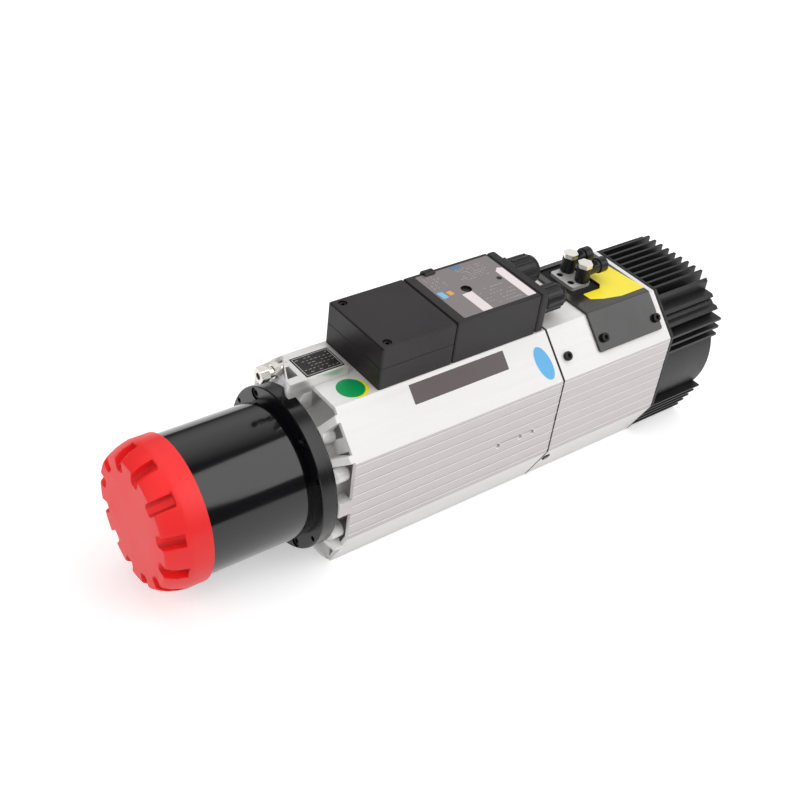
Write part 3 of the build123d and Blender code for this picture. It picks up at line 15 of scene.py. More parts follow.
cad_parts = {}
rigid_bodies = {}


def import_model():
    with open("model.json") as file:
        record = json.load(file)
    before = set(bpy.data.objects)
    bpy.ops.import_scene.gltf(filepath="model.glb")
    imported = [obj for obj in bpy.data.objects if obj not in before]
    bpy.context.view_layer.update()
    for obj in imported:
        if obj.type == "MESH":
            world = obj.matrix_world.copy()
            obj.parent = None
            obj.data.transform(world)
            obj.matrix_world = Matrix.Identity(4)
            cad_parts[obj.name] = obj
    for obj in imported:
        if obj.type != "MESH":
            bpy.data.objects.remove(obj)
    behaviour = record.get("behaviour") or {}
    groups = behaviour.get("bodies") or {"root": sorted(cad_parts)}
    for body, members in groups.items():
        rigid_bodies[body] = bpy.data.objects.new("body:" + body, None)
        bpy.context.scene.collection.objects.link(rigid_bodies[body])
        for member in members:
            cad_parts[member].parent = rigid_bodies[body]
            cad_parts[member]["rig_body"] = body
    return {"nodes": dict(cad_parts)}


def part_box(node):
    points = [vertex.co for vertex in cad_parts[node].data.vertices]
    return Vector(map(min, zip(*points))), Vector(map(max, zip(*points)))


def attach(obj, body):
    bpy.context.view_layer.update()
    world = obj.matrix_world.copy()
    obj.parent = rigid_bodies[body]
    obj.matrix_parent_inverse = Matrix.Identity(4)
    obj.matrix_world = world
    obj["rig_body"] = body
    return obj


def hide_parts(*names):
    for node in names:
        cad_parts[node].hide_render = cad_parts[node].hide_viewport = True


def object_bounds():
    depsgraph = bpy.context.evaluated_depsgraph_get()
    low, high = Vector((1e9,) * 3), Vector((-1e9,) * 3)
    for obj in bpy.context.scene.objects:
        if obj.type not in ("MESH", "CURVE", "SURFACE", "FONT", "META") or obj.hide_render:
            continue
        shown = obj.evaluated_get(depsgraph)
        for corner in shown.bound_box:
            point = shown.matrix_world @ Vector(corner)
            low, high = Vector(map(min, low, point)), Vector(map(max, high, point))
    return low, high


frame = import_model()
cad_low, cad_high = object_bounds()
nodes = frame["nodes"]
MM = 0.001  # lengths below are in millimetres and are multiplied by this
MERGE_GAP = 2e-6  # metres; points of the CAD mesh nearer than this are one point
print("nodes", len(nodes), "size in mm", [round(1000 * s, 1) for s in cad_high - cad_low])

# %% [markdown]
# ## The camera
# A camera is a place and three directions. Its back direction comes from an azimuth
# and an elevation, and a roll about that direction tilts the picture. Building the
# turning matrix from these three angles is exact, where aiming with a constraint
# would lose the roll.

# %% Place the camera
def new_object(name, data):
    """An object with this data, linked to the scene."""
    obj = bpy.data.objects.new(name, data)
    bpy.context.scene.collection.objects.link(obj)
    return obj


AZIMUTH, ELEVATION, ROLL = (math.radians(a) for a in (-41.5, 37.77, 7.81))
CAMERA_PLACE = (-0.4261, -0.6251, 0.6705)
SENSOR_WIDTH, FOCAL_LENGTH = 36.0, 54.28
back = Vector((
    math.sin(AZIMUTH) * math.cos(ELEVATION),
    -math.cos(AZIMUTH) * math.cos(ELEVATION),
    math.sin(ELEVATION),
))
level_x = Vector((0, 0, 1)).cross(back).normalized()
level_y = back.cross(level_x)
camera_x = math.cos(ROLL) * level_x + math.sin(ROLL) * level_y
camera_y = -math.sin(ROLL) * level_x + math.cos(ROLL) * level_y
turn = Matrix((camera_x, camera_y, back)).transposed()
camera = new_object("studio_camera", bpy.data.cameras.new("studio_camera"))
camera.matrix_world = Matrix.Translation(CAMERA_PLACE) @ turn.to_4x4()
camera.data.sensor_width = SENSOR_WIDTH
camera.data.lens = FOCAL_LENGTH
camera.data.clip_start = 0.01
bpy.context.scene.camera = camera
print("camera stands", round(camera.location.length, 3), "m from the origin")

# %% [markdown]
# ## Helpers for shader nodes
# A material is a small graph. One helper makes nodes and another joins sockets, so
# that each finish below reads as a short list of what feeds what.

# %% Shader helpers
def add(tree, kind, **values):
    """A node of a kind, with its input sockets set by name."""
    node = tree.nodes.new(kind)
    for name, value in values.items():
        node.inputs[name.replace("_", " ")].default_value = value
    return node


def join(tree, source, output, target, entry):
    """One link between two nodes."""
    tree.links.new(source.outputs[output], target.inputs[entry])


def remapped(tree, source, given, wanted):
    """A Map Range node: the source socket's range becomes another; returns its output."""
    node = tree.nodes.new("ShaderNodeMapRange")
    node.inputs["From Min"].default_value, node.inputs["From Max"].default_value = given
    node.inputs["To Min"].default_value, node.inputs["To Max"].default_value = wanted
    tree.links.new(source, node.inputs["Value"])
    return node.outputs["Result"]


def shader_group(name, inputs, outputs):
    """An empty node group with float inputs and the outputs that are asked for."""
    tree = bpy.data.node_groups.new(name, "ShaderNodeTree")
    tree.interface.new_socket("Vector", in_out="INPUT", socket_type="NodeSocketVector")
    for label, value in inputs:
        socket = tree.interface.new_socket(label, in_out="INPUT", socket_type="NodeSocketFloat")
        socket.default_value = value
    for label in outputs:
        tree.interface.new_socket(label, in_out="OUTPUT", socket_type="NodeSocketFloat")
    return tree, tree.nodes.new("NodeGroupInput"), tree.nodes.new("NodeGroupOutput")


# %% [markdown]
# ## Fine grain
# Moulded plastic, cast metal and paint all have a fine grain. Real makers get it from
# a spark-eroded mould or from the sand. A noise with two octaves copies it, and a
# slower noise beside it gives the broad patches that handling leaves.

# %% Group for grain and patches
grain, grain_in, grain_out = shader_group(
    "fine_grain", [("Scale", 900.0), ("Patches", 14.0)], ["Grain", "Patch"]
)
fine = add(grain, "ShaderNodeTexNoise", Detail=2.0, Roughness=0.6)
broad = add(grain, "ShaderNodeTexNoise", Detail=3.0, Roughness=0.55)
for noise, entry, result in ((fine, "Scale", "Grain"), (broad, "Patches", "Patch")):
    join(grain, grain_in, "Vector", noise, "Vector")
    join(grain, grain_in, entry, noise, "Scale")
    join(grain, noise, "Fac", grain_out, result)

# %% [markdown]
# ## Drawn lines
# An extruded body carries faint lines along its length, and turned metal carries
# them round its axis. Squeezing a noise hard along one axis draws such lines. The
# squeeze is an input, so one group serves both.

# %% Group for drawn lines
lines, lines_in, lines_out = shader_group(
    "drawn_lines", [("Along", 3.0), ("Across", 700.0)], ["Line", "Streak"]
)
sizes = add(lines, "ShaderNodeCombineXYZ")
join(lines, lines_in, "Along", sizes, "X")
join(lines, lines_in, "Across", sizes, "Y")
join(lines, lines_in, "Across", sizes, "Z")
for part, result in ((1.0, "Line"), (0.12, "Streak")):
    shrunk = lines.nodes.new("ShaderNodeVectorMath")
    shrunk.operation = "SCALE"
    shrunk.inputs["Scale"].default_value = part
    join(lines, sizes, "Vector", shrunk, 0)
    squeezed = lines.nodes.new("ShaderNodeVectorMath")
    squeezed.operation = "MULTIPLY"
    join(lines, lines_in, "Vector", squeezed, 0)
    lines.links.new(shrunk.outputs["Vector"], squeezed.inputs[1])
    noise = add(lines, "ShaderNodeTexNoise", Scale=1.0, Detail=2.0)
    join(lines, squeezed, "Vector", noise, "Vector")
    join(lines, noise, "Fac", lines_out, result)

# %% [markdown]
# ## Painted shade and painted highlights on the side walls
# The side walls carry thin ridges at an even pitch. The walls get a painted shade,
# darker than the top, and the crests get a painted highlight. The crest is found from two
# distances: how far a point stands from the middle plane, and how far it is from the
# nearest ridge line. One mask marks the wall for the shade and one marks the crests for the highlight.

# %% Group for the ribbed side walls
ribbed, ribbed_in, ribbed_out = shader_group(
    "ribbed_wall",
    [
        ("Wall", 72.8 * MM), ("Crest", 73.05 * MM), ("First", 45.4 * MM),
        ("Pitch", 10.6 * MM), ("Half Width", 0.3 * MM),
    ],
    ["Wall", "Crest"],
)


def reckon(tree, operation, *values):
    """A math node fed by sockets and numbers; the result is its output socket."""
    node = tree.nodes.new("ShaderNodeMath")
    node.operation = operation
    for i, value in enumerate(values):
        if isinstance(value, (int, float)):
            node.inputs[i].default_value = value
        else:
            tree.links.new(value, node.inputs[i])
    return node.outputs["Value"]


apart = ribbed.nodes.new("ShaderNodeSeparateXYZ")
join(ribbed, ribbed_in, "Vector", apart, "Vector")
reach = reckon(ribbed, "ABSOLUTE", apart.outputs["Y"])
height = reckon(ribbed, "SUBTRACT", apart.outputs["Z"], ribbed_in.outputs["First"])
half_pitch = reckon(ribbed, "MULTIPLY", ribbed_in.outputs["Pitch"], 0.5)
from_line = reckon(ribbed, "PINGPONG", height, half_pitch)
on_line = reckon(ribbed, "LESS_THAN", from_line, ribbed_in.outputs["Half Width"])
proud = reckon(ribbed, "GREATER_THAN", reach, ribbed_in.outputs["Crest"])
on_wall = reckon(ribbed, "GREATER_THAN", reach, ribbed_in.outputs["Wall"])
ribbed.links.new(on_wall, ribbed_out.inputs["Wall"])
ribbed.links.new(reckon(ribbed, "MULTIPLY", proud, on_line), ribbed_out.inputs["Crest"])

# %% [markdown]
# ## One recipe for a finish
# Every finish here is a base colour that two masks darken a little, a roughness that
# the patches shift, and a bump from the grain. The recipe takes those as numbers, so
# each real material is one line with its own scale. Principled stays in the material.

# %% Recipe for a finish
NOISE_RANGE = (0.3, 0.7)  # nearly all of a noise lies here
BUMP_DEPTH = 0.2 * MM


def finish_of(name, colour, roughness, metal=0.0, grain_scale=900.0, bump=0.15, spread=0.10,
              drawn=None, shift=0.08, coat=0.0, specular=0.5):
    """A material from a colour, a roughness and the strength of its surface detail."""
    material = bpy.data.materials.new(name)
    material.use_nodes = True
    tree = material.node_tree
    principled = tree.nodes["Principled BSDF"]
    principled.inputs["Metallic"].default_value = metal
    principled.inputs["Specular IOR Level"].default_value = specular
    principled.inputs["Coat Weight"].default_value = coat
    principled.inputs["Coat Roughness"].default_value = 0.08
    place = tree.nodes.new("ShaderNodeTexCoord")
    detail = tree.nodes.new("ShaderNodeGroup")
    detail.node_tree = lines if drawn else grain
    join(tree, place, "Object", detail, "Vector")
    first, second = ("Line", "Streak") if drawn else ("Grain", "Patch")
    if drawn:
        detail.inputs["Along"].default_value, detail.inputs["Across"].default_value = drawn
    else:
        detail.inputs["Scale"].default_value = grain_scale
    mix = tree.nodes.new("ShaderNodeMix")
    mix.data_type = "RGBA"
    mix.inputs[6].default_value = (*[c * (1 - spread) for c in colour], 1)
    mix.inputs[7].default_value = (*[min(1, c * (1 + spread)) for c in colour], 1)
    tree.links.new(remapped(tree, detail.outputs[second], NOISE_RANGE, (0.0, 1.0)), mix.inputs[0])
    tree.links.new(mix.outputs[2], principled.inputs["Base Color"])
    rough = remapped(tree, detail.outputs[second], NOISE_RANGE, (roughness - shift, roughness + shift))
    tree.links.new(rough, principled.inputs["Roughness"])
    raised = add(tree, "ShaderNodeBump", Strength=bump, Distance=BUMP_DEPTH)
    join(tree, detail, first, raised, "Height")
    join(tree, raised, "Normal", principled, "Normal")
    return material


# %% Finishes of this spindle
body_metal = finish_of(
    "satin_aluminium", (0.83, 0.815, 0.805), 0.50, 0.25, drawn=(4.0, 900.0), bump=0.08, spread=0.04
)
milled_metal = finish_of(
    "milled_aluminium", (0.80, 0.79, 0.775), 0.34, 0.75, drawn=(60.0, 1400.0), bump=0.12, spread=0.06
)
blasted_metal = finish_of(
    "blasted_aluminium", (0.60, 0.59, 0.575), 0.50, 0.45, grain_scale=1800.0, bump=0.30
)
cast_metal = finish_of("cast_aluminium", (0.62, 0.61, 0.60), 0.45, 0.9, grain_scale=1300.0, bump=0.30)
nose_black = finish_of(
    "gloss_black_nose", (0.003, 0.003, 0.004), 0.13, grain_scale=300.0, bump=0.015, shift=0.03, coat=0.2
)
flange_black = finish_of(
    "anodised_black_flange", (0.004, 0.004, 0.005), 0.24, drawn=(1200.0, 60.0), bump=0.04, shift=0.05
)
plate_black = finish_of(
    "printed_black_plate", (0.010, 0.009, 0.009), 0.40, 0.2, grain_scale=2400.0, bump=0.10
)
cap_red = finish_of(
    "moulded_red_cap", (0.93, 0.022, 0.024), 0.42, grain_scale=1100.0, bump=0.08, spread=0.05, specular=0.4
)
box_plastic = finish_of(
    "charcoal_box_plastic", (0.017, 0.014, 0.016), 0.44,
    grain_scale=1500.0, bump=0.35, spread=0.14, specular=0.35,
)
plate_paint = finish_of(
    "glossy_cover_plate", (0.014, 0.012, 0.011), 0.30, grain_scale=1200.0, bump=0.10, coat=0.45
)
fin_black = finish_of(
    "cast_black_fins", (0.012, 0.012, 0.013), 0.46, grain_scale=1000.0, bump=0.35, spread=0.25
)
nylon_black = finish_of("black_nylon", (0.006, 0.006, 0.007), 0.36, grain_scale=1300.0, bump=0.12)
rubber_black = finish_of("black_rubber", (0.009, 0.009, 0.009), 0.68, grain_scale=1600.0, bump=0.3)
oxide_black = finish_of(
    "black_oxide_steel", (0.016, 0.015, 0.016), 0.34, 0.5, grain_scale=1500.0, bump=0.1
)
nickel = finish_of(
    "nickel_plate", (0.84, 0.81, 0.75), 0.26, 0.9, grain_scale=700.0, bump=0.04, shift=0.05
)
ground_steel = finish_of("ground_steel", (0.60, 0.60, 0.62), 0.24, 1.0, drawn=(1500.0, 40.0), bump=0.08)
bearing_steel = finish_of(
    "bearing_steel", (0.66, 0.66, 0.67), 0.14, 1.0, grain_scale=500.0, bump=0.02, shift=0.04
)
laminated = finish_of("laminated_steel", (0.30, 0.31, 0.33), 0.40, 0.9, drawn=(2600.0, 6.0), bump=0.25)
copper = finish_of(
    "varnished_copper", (0.56, 0.22, 0.09), 0.32, 0.6, grain_scale=420.0, bump=0.5, coat=0.3
)
brass = finish_of("machined_brass", (0.66, 0.47, 0.20), 0.28, 1.0, drawn=(1200.0, 50.0), bump=0.08)
spring_steel = finish_of(
    "oiled_spring_steel", (0.25, 0.25, 0.27), 0.30, 0.95, grain_scale=800.0, bump=0.06
)

# %% Painted shade on the walls and painted highlights on the crests of the body
def mixed_over(tree, principled, mask, colour):
    """Lay a colour over what feeds Base Color, where a mask is one."""
    before = principled.inputs["Base Color"].links[0].from_socket
    over = tree.nodes.new("ShaderNodeMix")
    over.data_type = "RGBA"
    over.inputs[7].default_value = (*colour, 1)
    tree.links.new(before, over.inputs[6])
    tree.links.new(mask, over.inputs[0])
    tree.links.new(over.outputs[2], principled.inputs["Base Color"])


body_tree = body_metal.node_tree
walls = body_tree.nodes.new("ShaderNodeGroup")
walls.node_tree = ribbed
place = body_tree.nodes.new("ShaderNodeTexCoord")
join(body_tree, place, "Object", walls, "Vector")
# Painted shade: the side walls are coloured darker than the top. Painted highlight: the ridge crests are
# coloured near white.
SIDE_WALL_SHADE, CREST_HIGHLIGHT = (0.655, 0.61, 0.62), (1.0, 0.98, 0.98)
for mask, tone in (("Wall", SIDE_WALL_SHADE), ("Crest", CREST_HIGHLIGHT)):
    mixed_over(body_tree, body_tree.nodes["Principled BSDF"], walls.outputs[mask], tone)

# %% [markdown]
# ## Who wears what
# A CAD node keeps its shape and takes a material. One table from finish to nodes is
# easier to check than sixty separate lines.

# %% Dress the CAD nodes
WEARS = {
    body_metal: "main_housing rear_housing",
    milled_metal: "nameplate_block rear_bearing_plate",
    blasted_metal: "manifold_plate",
    cast_metal: "cylinder_barrel cylinder_cap piston",
    nose_black: "nose_sleeve",
    plate_black: "nameplate",
    flange_black: "mounting_flange",
    cap_red: "protective_cap",
    box_plastic: "terminal_box terminal_lid connector_block end_cover",
    plate_paint: "cover_plate",
    fin_black: "finned_cover fan_grille",
    nylon_black: "gland_bodies gland_nuts elbow_1 elbow_2 fan_motor fan_impeller terminal_block "
                 "position_sensors side_plugs",
    rubber_black: "housing_gasket rear_gasket manifold_pad piston_seals",
    oxide_black: "cover_screws low_screws lid_screws flange_screws cover_ring_screws tie_rods "
                 "shaft_locknuts front_cover_ring spring_nut",
    nickel: "purge_fitting banjo_bolts",
    ground_steel: "spindle_shaft shaft_spacer bearing_spacer sensor_ring drawbar gripper_finger_1 "
                  "gripper_finger_2 gripper_finger_3 gripper_finger_4",
    bearing_steel: "bearing_outer_rings bearing_inner_rings bearing_balls",
    laminated: "rotor_core stator_core",
    copper: "stator_windings",
    brass: "bearing_cages",
    spring_steel: "disc_springs",
}


def wear_only(obj, material):
    """Give an object one material."""
    obj.data.materials.clear()
    obj.data.materials.append(material)


dressed = set()
for material, names in WEARS.items():
    for name in names.split():
        wear_only(nodes[name], material)
        dressed.add(name)
print("dressed", len(dressed), "left bare", sorted(set(nodes) - dressed))

# %% [markdown]
# ## Softened edges
# No moulded or machined edge is a true knife edge, and the thin bright line that a
# small radius catches is what makes a part look made. A Bevel modifier on a copy of
# the CAD mesh gives it. The CAD triangles are merged first, flat areas become single
# faces, and only edges between faces that are wide enough for the radius are marked,
# so small holes and ribs stay as they are.

# %% Helpers for new pieces
def plain_mesh(obj, name):
    """The evaluated shape of an object as a new object with a plain mesh."""
    graph = bpy.context.evaluated_depsgraph_get()
    mesh = bpy.data.meshes.new_from_object(obj.evaluated_get(graph))
    mesh.name = name
    return new_object(name, mesh)


def drop(obj):
    """Remove a helper object together with its data."""
    data = obj.data
    bpy.data.objects.remove(obj)
    if data is not None and data.users == 0:
        (bpy.data.curves if isinstance(data, bpy.types.Curve) else bpy.data.meshes).remove(data)


def face_width(face):
    """Mean width of a face: a thin strip gives a small number."""
    return 2 * face.calc_area() / max(face.calc_perimeter(), 1e-9)


FLANGE_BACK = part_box("mounting_flange")[1].x  # the hidden joint face there has too many holes to merge
FLAT_ANGLE = 0.5  # degrees; neighbours flatter than this become one face


def softened(node, width, narrowest=2.6, angle=28.0, segments=3):
    """A copy of a CAD node that stands for it, with the edges sharper than the angle rounded."""
    shell = bmesh.new()
    shell.from_mesh(nodes[node].data)
    bmesh.ops.remove_doubles(shell, verts=shell.verts, dist=MERGE_GAP)
    for edge in shell.edges:
        on_joint = all(abs(v.co.x - FLANGE_BACK) < 0.01 * MM for v in edge.verts)
        edge.seam = on_joint and node == "main_housing"
    bmesh.ops.dissolve_limit(
        shell, angle_limit=math.radians(FLAT_ANGLE), verts=shell.verts, edges=shell.edges, delimit={"SEAM"}
    )
    marks = shell.edges.layers.float.new("bevel_weight_edge")
    marked = 0
    for edge in shell.edges:
        wide = len(edge.link_faces) == 2 and all(face_width(f) > narrowest * width for f in edge.link_faces)
        if wide and edge.calc_face_angle(0.0) > math.radians(angle):
            edge[marks] = 1.0
            marked += 1
    draft_mesh = bpy.data.meshes.new(node + "_draft")
    shell.to_mesh(draft_mesh)
    shell.free()
    draft_mesh.shade_smooth()
    draft = new_object(node + "_draft", draft_mesh)
    bevel = draft.modifiers.new("edge", "BEVEL")
    bevel.limit_method = "WEIGHT"
    bevel.width, bevel.segments = width, segments
    bevel.use_clamp_overlap = False
    result = plain_mesh(draft, node + "_softened")
    drop(draft)
    result.data.shade_smooth()
    result.data.set_sharp_from_angle(angle=math.radians(angle))
    smooth = result.modifiers.new("weight", "WEIGHTED_NORMAL")
    smooth.keep_sharp = True
    final = plain_mesh(result, node + "_soft")
    drop(result)
    wear_only(final, nodes[node].data.materials[0])
    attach(final, nodes[node]["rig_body"])
    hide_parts(node)
    print(f"{final.name:28s} edges rounded {marked:4d} faces {len(final.data.polygons)}")
    return final


# %% Round the edges that show
SOFT_WIDTHS = {
    "mounting_flange": 0.5, "terminal_box": 0.6, "terminal_lid": 0.8,
    "connector_block": 0.8, "end_cover": 0.7, "nameplate_block": 0.5, "cover_plate": 0.4,
    "manifold_plate": 0.4, "gland_nuts": 0.3, "elbow_1": 0.4, "elbow_2": 0.4,
    "main_housing": 0.35, "rear_housing": 0.35, "banjo_bolts": 0.3,
}
for node, width in SOFT_WIDTHS.items():
    softened(node, width * MM)
softened("protective_cap", 0.8 * MM, narrowest=1.2, angle=40.0, segments=4)

# %% [markdown]
# ## Socket screws
# Black socket screws hold the covers. All are one shape at different sizes: a fluted
# head with a rounded crown, a hexagon socket and a shank. One model of size one is
# made in mesh code, and a Geometry Nodes tree sets a copy on every seat, turned and
# scaled by what the seat says. The seats are measured from the CAD screws.

# %% Model of one socket screw
def smooth_mesh(shell, name, angle):
    """A mesh from a bmesh: faces outward, smooth but for edges sharper than the angle."""
    bmesh.ops.recalc_face_normals(shell, faces=shell.faces)
    mesh = bpy.data.meshes.new(name)
    shell.to_mesh(mesh)
    shell.free()
    mesh.shade_smooth()
    mesh.set_sharp_from_angle(angle=math.radians(angle))
    return mesh


def screw_model():
    """A screw with head radius 1 and head height 1, whose head top is at z = 0."""
    around = 48
    shell = bmesh.new()

    def ring(radius, z, flute=0.0, hexagon=False):
        verts = []
        for i in range(around):
            turn_by = 2 * math.pi * i / around
            r = radius - (flute if i % 2 else 0.0)
            if hexagon:
                slice_by = turn_by % (math.pi / 3) - math.pi / 6
                r = radius * math.cos(math.pi / 6) / math.cos(slice_by)
            verts.append(shell.verts.new((r * math.cos(turn_by), r * math.sin(turn_by), z)))
        return verts

    rings = [
        ring(0.50, -0.62, hexagon=True), ring(0.50, -0.10, hexagon=True), ring(0.60, 0.0),
        ring(0.84, 0.0), ring(0.93, -0.05), ring(0.96, -0.14), ring(1.0, -0.18, 0.05),
        ring(1.0, -0.92, 0.05), ring(0.95, -1.0), ring(0.58, -1.0), ring(0.58, -1.9), ring(0.50, -1.98),
    ]
    for low, high in zip(rings, rings[1:]):
        for i in range(around):
            k = (i + 1) % around
            shell.faces.new((low[i], low[k], high[k], high[i]))
    shell.faces.new(rings[0])
    shell.faces.new(list(reversed(rings[-1])))
    return new_object("screw_model", smooth_mesh(shell, "screw_model", 32))


# %% Measure the seats on the CAD screws
def loose_parts(node):
    """Vertex positions of each separate solid in a node, as arrays."""
    shell = bmesh.new()
    shell.from_mesh(nodes[node].data)
    bmesh.ops.remove_doubles(shell, verts=shell.verts, dist=MERGE_GAP)
    parts, seen = [], set()
    for start in shell.verts:
        if start in seen:
            continue
        stack, part = [start], []
        seen.add(start)
        while stack:
            vert = stack.pop()
            part.append(vert.co.copy())
            for edge in vert.link_edges:
                other = edge.other_vert(vert)
                if other not in seen:
                    seen.add(other)
                    stack.append(other)
        parts.append(np.array(part))
    shell.free()
    return parts


def seat_of(points):
    """Head top, outward direction, head radius and head height of one CAD screw."""
    middle = (points.max(0) + points.min(0)) / 2
    values, ways = np.linalg.eigh(np.cov((points - points.mean(0)).T))
    gaps = [abs(values[(i + 1) % 3] - values[(i + 2) % 3]) for i in range(3)]
    way = ways[:, int(np.argmin(gaps))]
    along = (points - middle) @ way
    radius = np.linalg.norm((points - middle) - np.outer(along, way), axis=1)
    head = radius.max()
    wide = along[radius > 0.97 * head]
    if wide.mean() < along.mean():
        way, along = -way, -along
        wide = along[radius > 0.97 * head]
    centre = middle + way * along.max()
    return centre, way, head, wide.max() - wide.min()


SCREW_NODES = ["cover_screws", "lid_screws", "flange_screws", "low_screws"]
seats = {node: [seat_of(part) for part in loose_parts(node)] for node in SCREW_NODES}
for node, found in seats.items():
    print(node, len(found), "heads", sorted({round(1000 * s[2], 2) for s in found}), "mm radius")

# %% Tree that sets a screw on every seat
def input_socket(tree, label, kind, value=None):
    """A named input of a Geometry Nodes tree."""
    socket = tree.interface.new_socket(label, in_out="INPUT", socket_type=kind)
    if value is not None:
        socket.default_value = value


def named(tree, label, kind):
    """A node that reads a named attribute."""
    node = tree.nodes.new("GeometryNodeInputNamedAttribute")
    node.data_type = kind
    node.inputs["Name"].default_value = label
    return node


def end_tree(tree, geometry, entry):
    """Realize Instances and Set Material, then the output, as every tree here ends."""
    real = tree.nodes.new("GeometryNodeRealizeInstances")
    paint = tree.nodes.new("GeometryNodeSetMaterial")
    out = tree.nodes.new("NodeGroupOutput")
    tree.links.new(geometry, real.inputs["Geometry"])
    join(tree, real, "Geometry", paint, "Geometry")
    join(tree, entry, "Material", paint, "Material")
    join(tree, paint, "Geometry", out, "Geometry")


screw_tree = bpy.data.node_groups.new("screws_on_seats", "GeometryNodeTree")
screw_tree.interface.new_socket("Geometry", in_out="OUTPUT", socket_type="NodeSocketGeometry")
input_socket(screw_tree, "Geometry", "NodeSocketGeometry")
input_socket(screw_tree, "Screw", "NodeSocketObject")
input_socket(screw_tree, "Size", "NodeSocketFloat", 1.0)
input_socket(screw_tree, "Material", "NodeSocketMaterial")
entry = screw_tree.nodes.new("NodeGroupInput")
model_info = screw_tree.nodes.new("GeometryNodeObjectInfo")
model_info.inputs["As Instance"].default_value = True
set_on = screw_tree.nodes.new("GeometryNodeInstanceOnPoints")
turn_to = screw_tree.nodes.new("FunctionNodeAlignRotationToVector")
turn_to.axis = "Z"
grow = screw_tree.nodes.new("ShaderNodeVectorMath")
grow.operation = "SCALE"
join(screw_tree, entry, "Geometry", set_on, "Points")
join(screw_tree, entry, "Screw", model_info, "Object")
join(screw_tree, model_info, "Geometry", set_on, "Instance")
join(screw_tree, named(screw_tree, "way", "FLOAT_VECTOR"), "Attribute", turn_to, "Vector")
join(screw_tree, turn_to, "Rotation", set_on, "Rotation")
join(screw_tree, named(screw_tree, "size", "FLOAT_VECTOR"), "Attribute", grow, 0)
join(screw_tree, entry, "Size", grow, "Scale")
join(screw_tree, grow, "Vector", set_on, "Scale")
end_tree(screw_tree, set_on.outputs["Instances"], entry)


def run_tree(obj, tree, name, **settings):
    """Run a tree on an object with named inputs, and keep the result as a plain mesh."""
    modifier = obj.modifiers.new("tree", "NODES")
    modifier.node_group = tree
    for item in tree.interface.items_tree:
        key = item.name.replace(" ", "_").lower()
        if item.in_out == "INPUT" and key in settings:
            modifier[item.identifier] = settings[key]
    result = plain_mesh(obj, name)
    drop(obj)
    wear_only(result, settings["material"])  # the tree leaves an empty slot before its own
    return result


# %% Screws on every seat
model = screw_model()
for node, found in seats.items():
    points = bpy.data.meshes.new(node + "_seats")
    points.from_pydata([tuple(s[0]) for s in found], [], [])
    way = points.attributes.new("way", "FLOAT_VECTOR", "POINT")
    way.data.foreach_set("vector", np.array([s[1] for s in found], np.float32).ravel())
    size = points.attributes.new("size", "FLOAT_VECTOR", "POINT")
    size.data.foreach_set("vector", np.array([(s[2], s[2], s[3]) for s in found], np.float32).ravel())
    holder = new_object(node + "_seats", points)
    screws = run_tree(holder, screw_tree, node + "_fluted", screw=model, size=1.0, material=oxide_black)
    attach(screws, "body")
    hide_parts(node)
    print(screws.name, "faces", len(screws.data.polygons))
drop(model)

# %% [markdown]
# ## Blank labels
# Labels on such a machine are thin printed vinyl. They could be painted into the
# material below, but a real sheet has an edge and a gloss of its own, so each is a
# flat curve with rounded corners, given a tenth of a millimetre of thickness. All
# stay blank: plain patches of colour keep the layout and carry no words.

# %% Helpers for flat sheets
def rounded(points, radius, steps=6):
    """An outline whose corners are arcs."""
    result = []
    count = len(points)
    for i in range(count):
        here = Vector(points[i])
        to_last = (Vector(points[i - 1]) - here).normalized()
        to_next = (Vector(points[(i + 1) % count]) - here).normalized()
        half = to_last.angle(to_next) / 2
        away = min(radius, 2.0 * radius * math.tan(half))
        reach = away / math.tan(half)
        centre = here + (to_last + to_next).normalized() * (away / math.sin(half))
        first = here + to_last * reach - centre
        sweep = first.angle_signed(here + to_next * reach - centre)
        for k in range(steps + 1):
            a = -sweep * k / steps
            c, s = math.cos(a), math.sin(a)
            result.append(centre + Vector((c * first.x - s * first.y, s * first.x + c * first.y)))
    return result


def ellipse(x, y, half_x, half_y, tilt=0.0, steps=56):
    """An ellipse, tilted in degrees."""
    c, s = math.cos(math.radians(tilt)), math.sin(math.radians(tilt))
    result = []
    for i in range(steps):
        a = 2 * math.pi * i / steps
        u, v = half_x * math.cos(a), half_y * math.sin(a)
        result.append(Vector((x + c * u - s * v, y + s * u + c * v)))
    return result


def level(z):
    """A level plane at a height: sheet coordinates are X and Y."""
    return Matrix.Translation((0, 0, z * MM))


FACET_PLACE = (0, -39.0 * MM, 82.2 * MM)  # a point on the near slanting face, which is at 45 degrees
FACET = Matrix.Translation(FACET_PLACE) @ Matrix.Rotation(math.radians(45), 4, "X")


def flat_sheet(name, outlines, place, material, low=-0.02, high=0.12):
    """A thin sheet from outlines in millimetres; outlines inside the first are holes."""
    curve = bpy.data.curves.new(name, "CURVE")
    curve.dimensions, curve.fill_mode = "2D", "BOTH"
    for outline in outlines:
        spline = curve.splines.new("POLY")
        spline.points.add(len(outline) - 1)
        for point, at in zip(spline.points, outline):
            point.co = (at[0] * MM, at[1] * MM, 0, 1)
        spline.use_cyclic_u = True
    curve.extrude = (high - low) / 2 * MM
    flat = new_object(name + "_curve", curve)
    result = plain_mesh(flat, name)
    drop(flat)
    seams = bmesh.new()
    seams.from_mesh(result.data)
    bmesh.ops.remove_doubles(seams, verts=seams.verts, dist=1e-7)
    bmesh.ops.recalc_face_normals(seams, faces=seams.faces)
    seams.to_mesh(result.data)
    seams.free()
    result.data.transform(place @ Matrix.Translation((0, 0, (high + low) / 2 * MM)))
    wear_only(result, material)
    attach(result, "body")
    return result


# %% Vinyl and print
def vinyl(name, colour, roughness=0.34):
    """Printed vinyl: an even colour, faintly uneven gloss, a thin clear film."""
    return finish_of(name, colour, roughness, grain_scale=2200.0, bump=0.05, spread=0.04, coat=0.25)


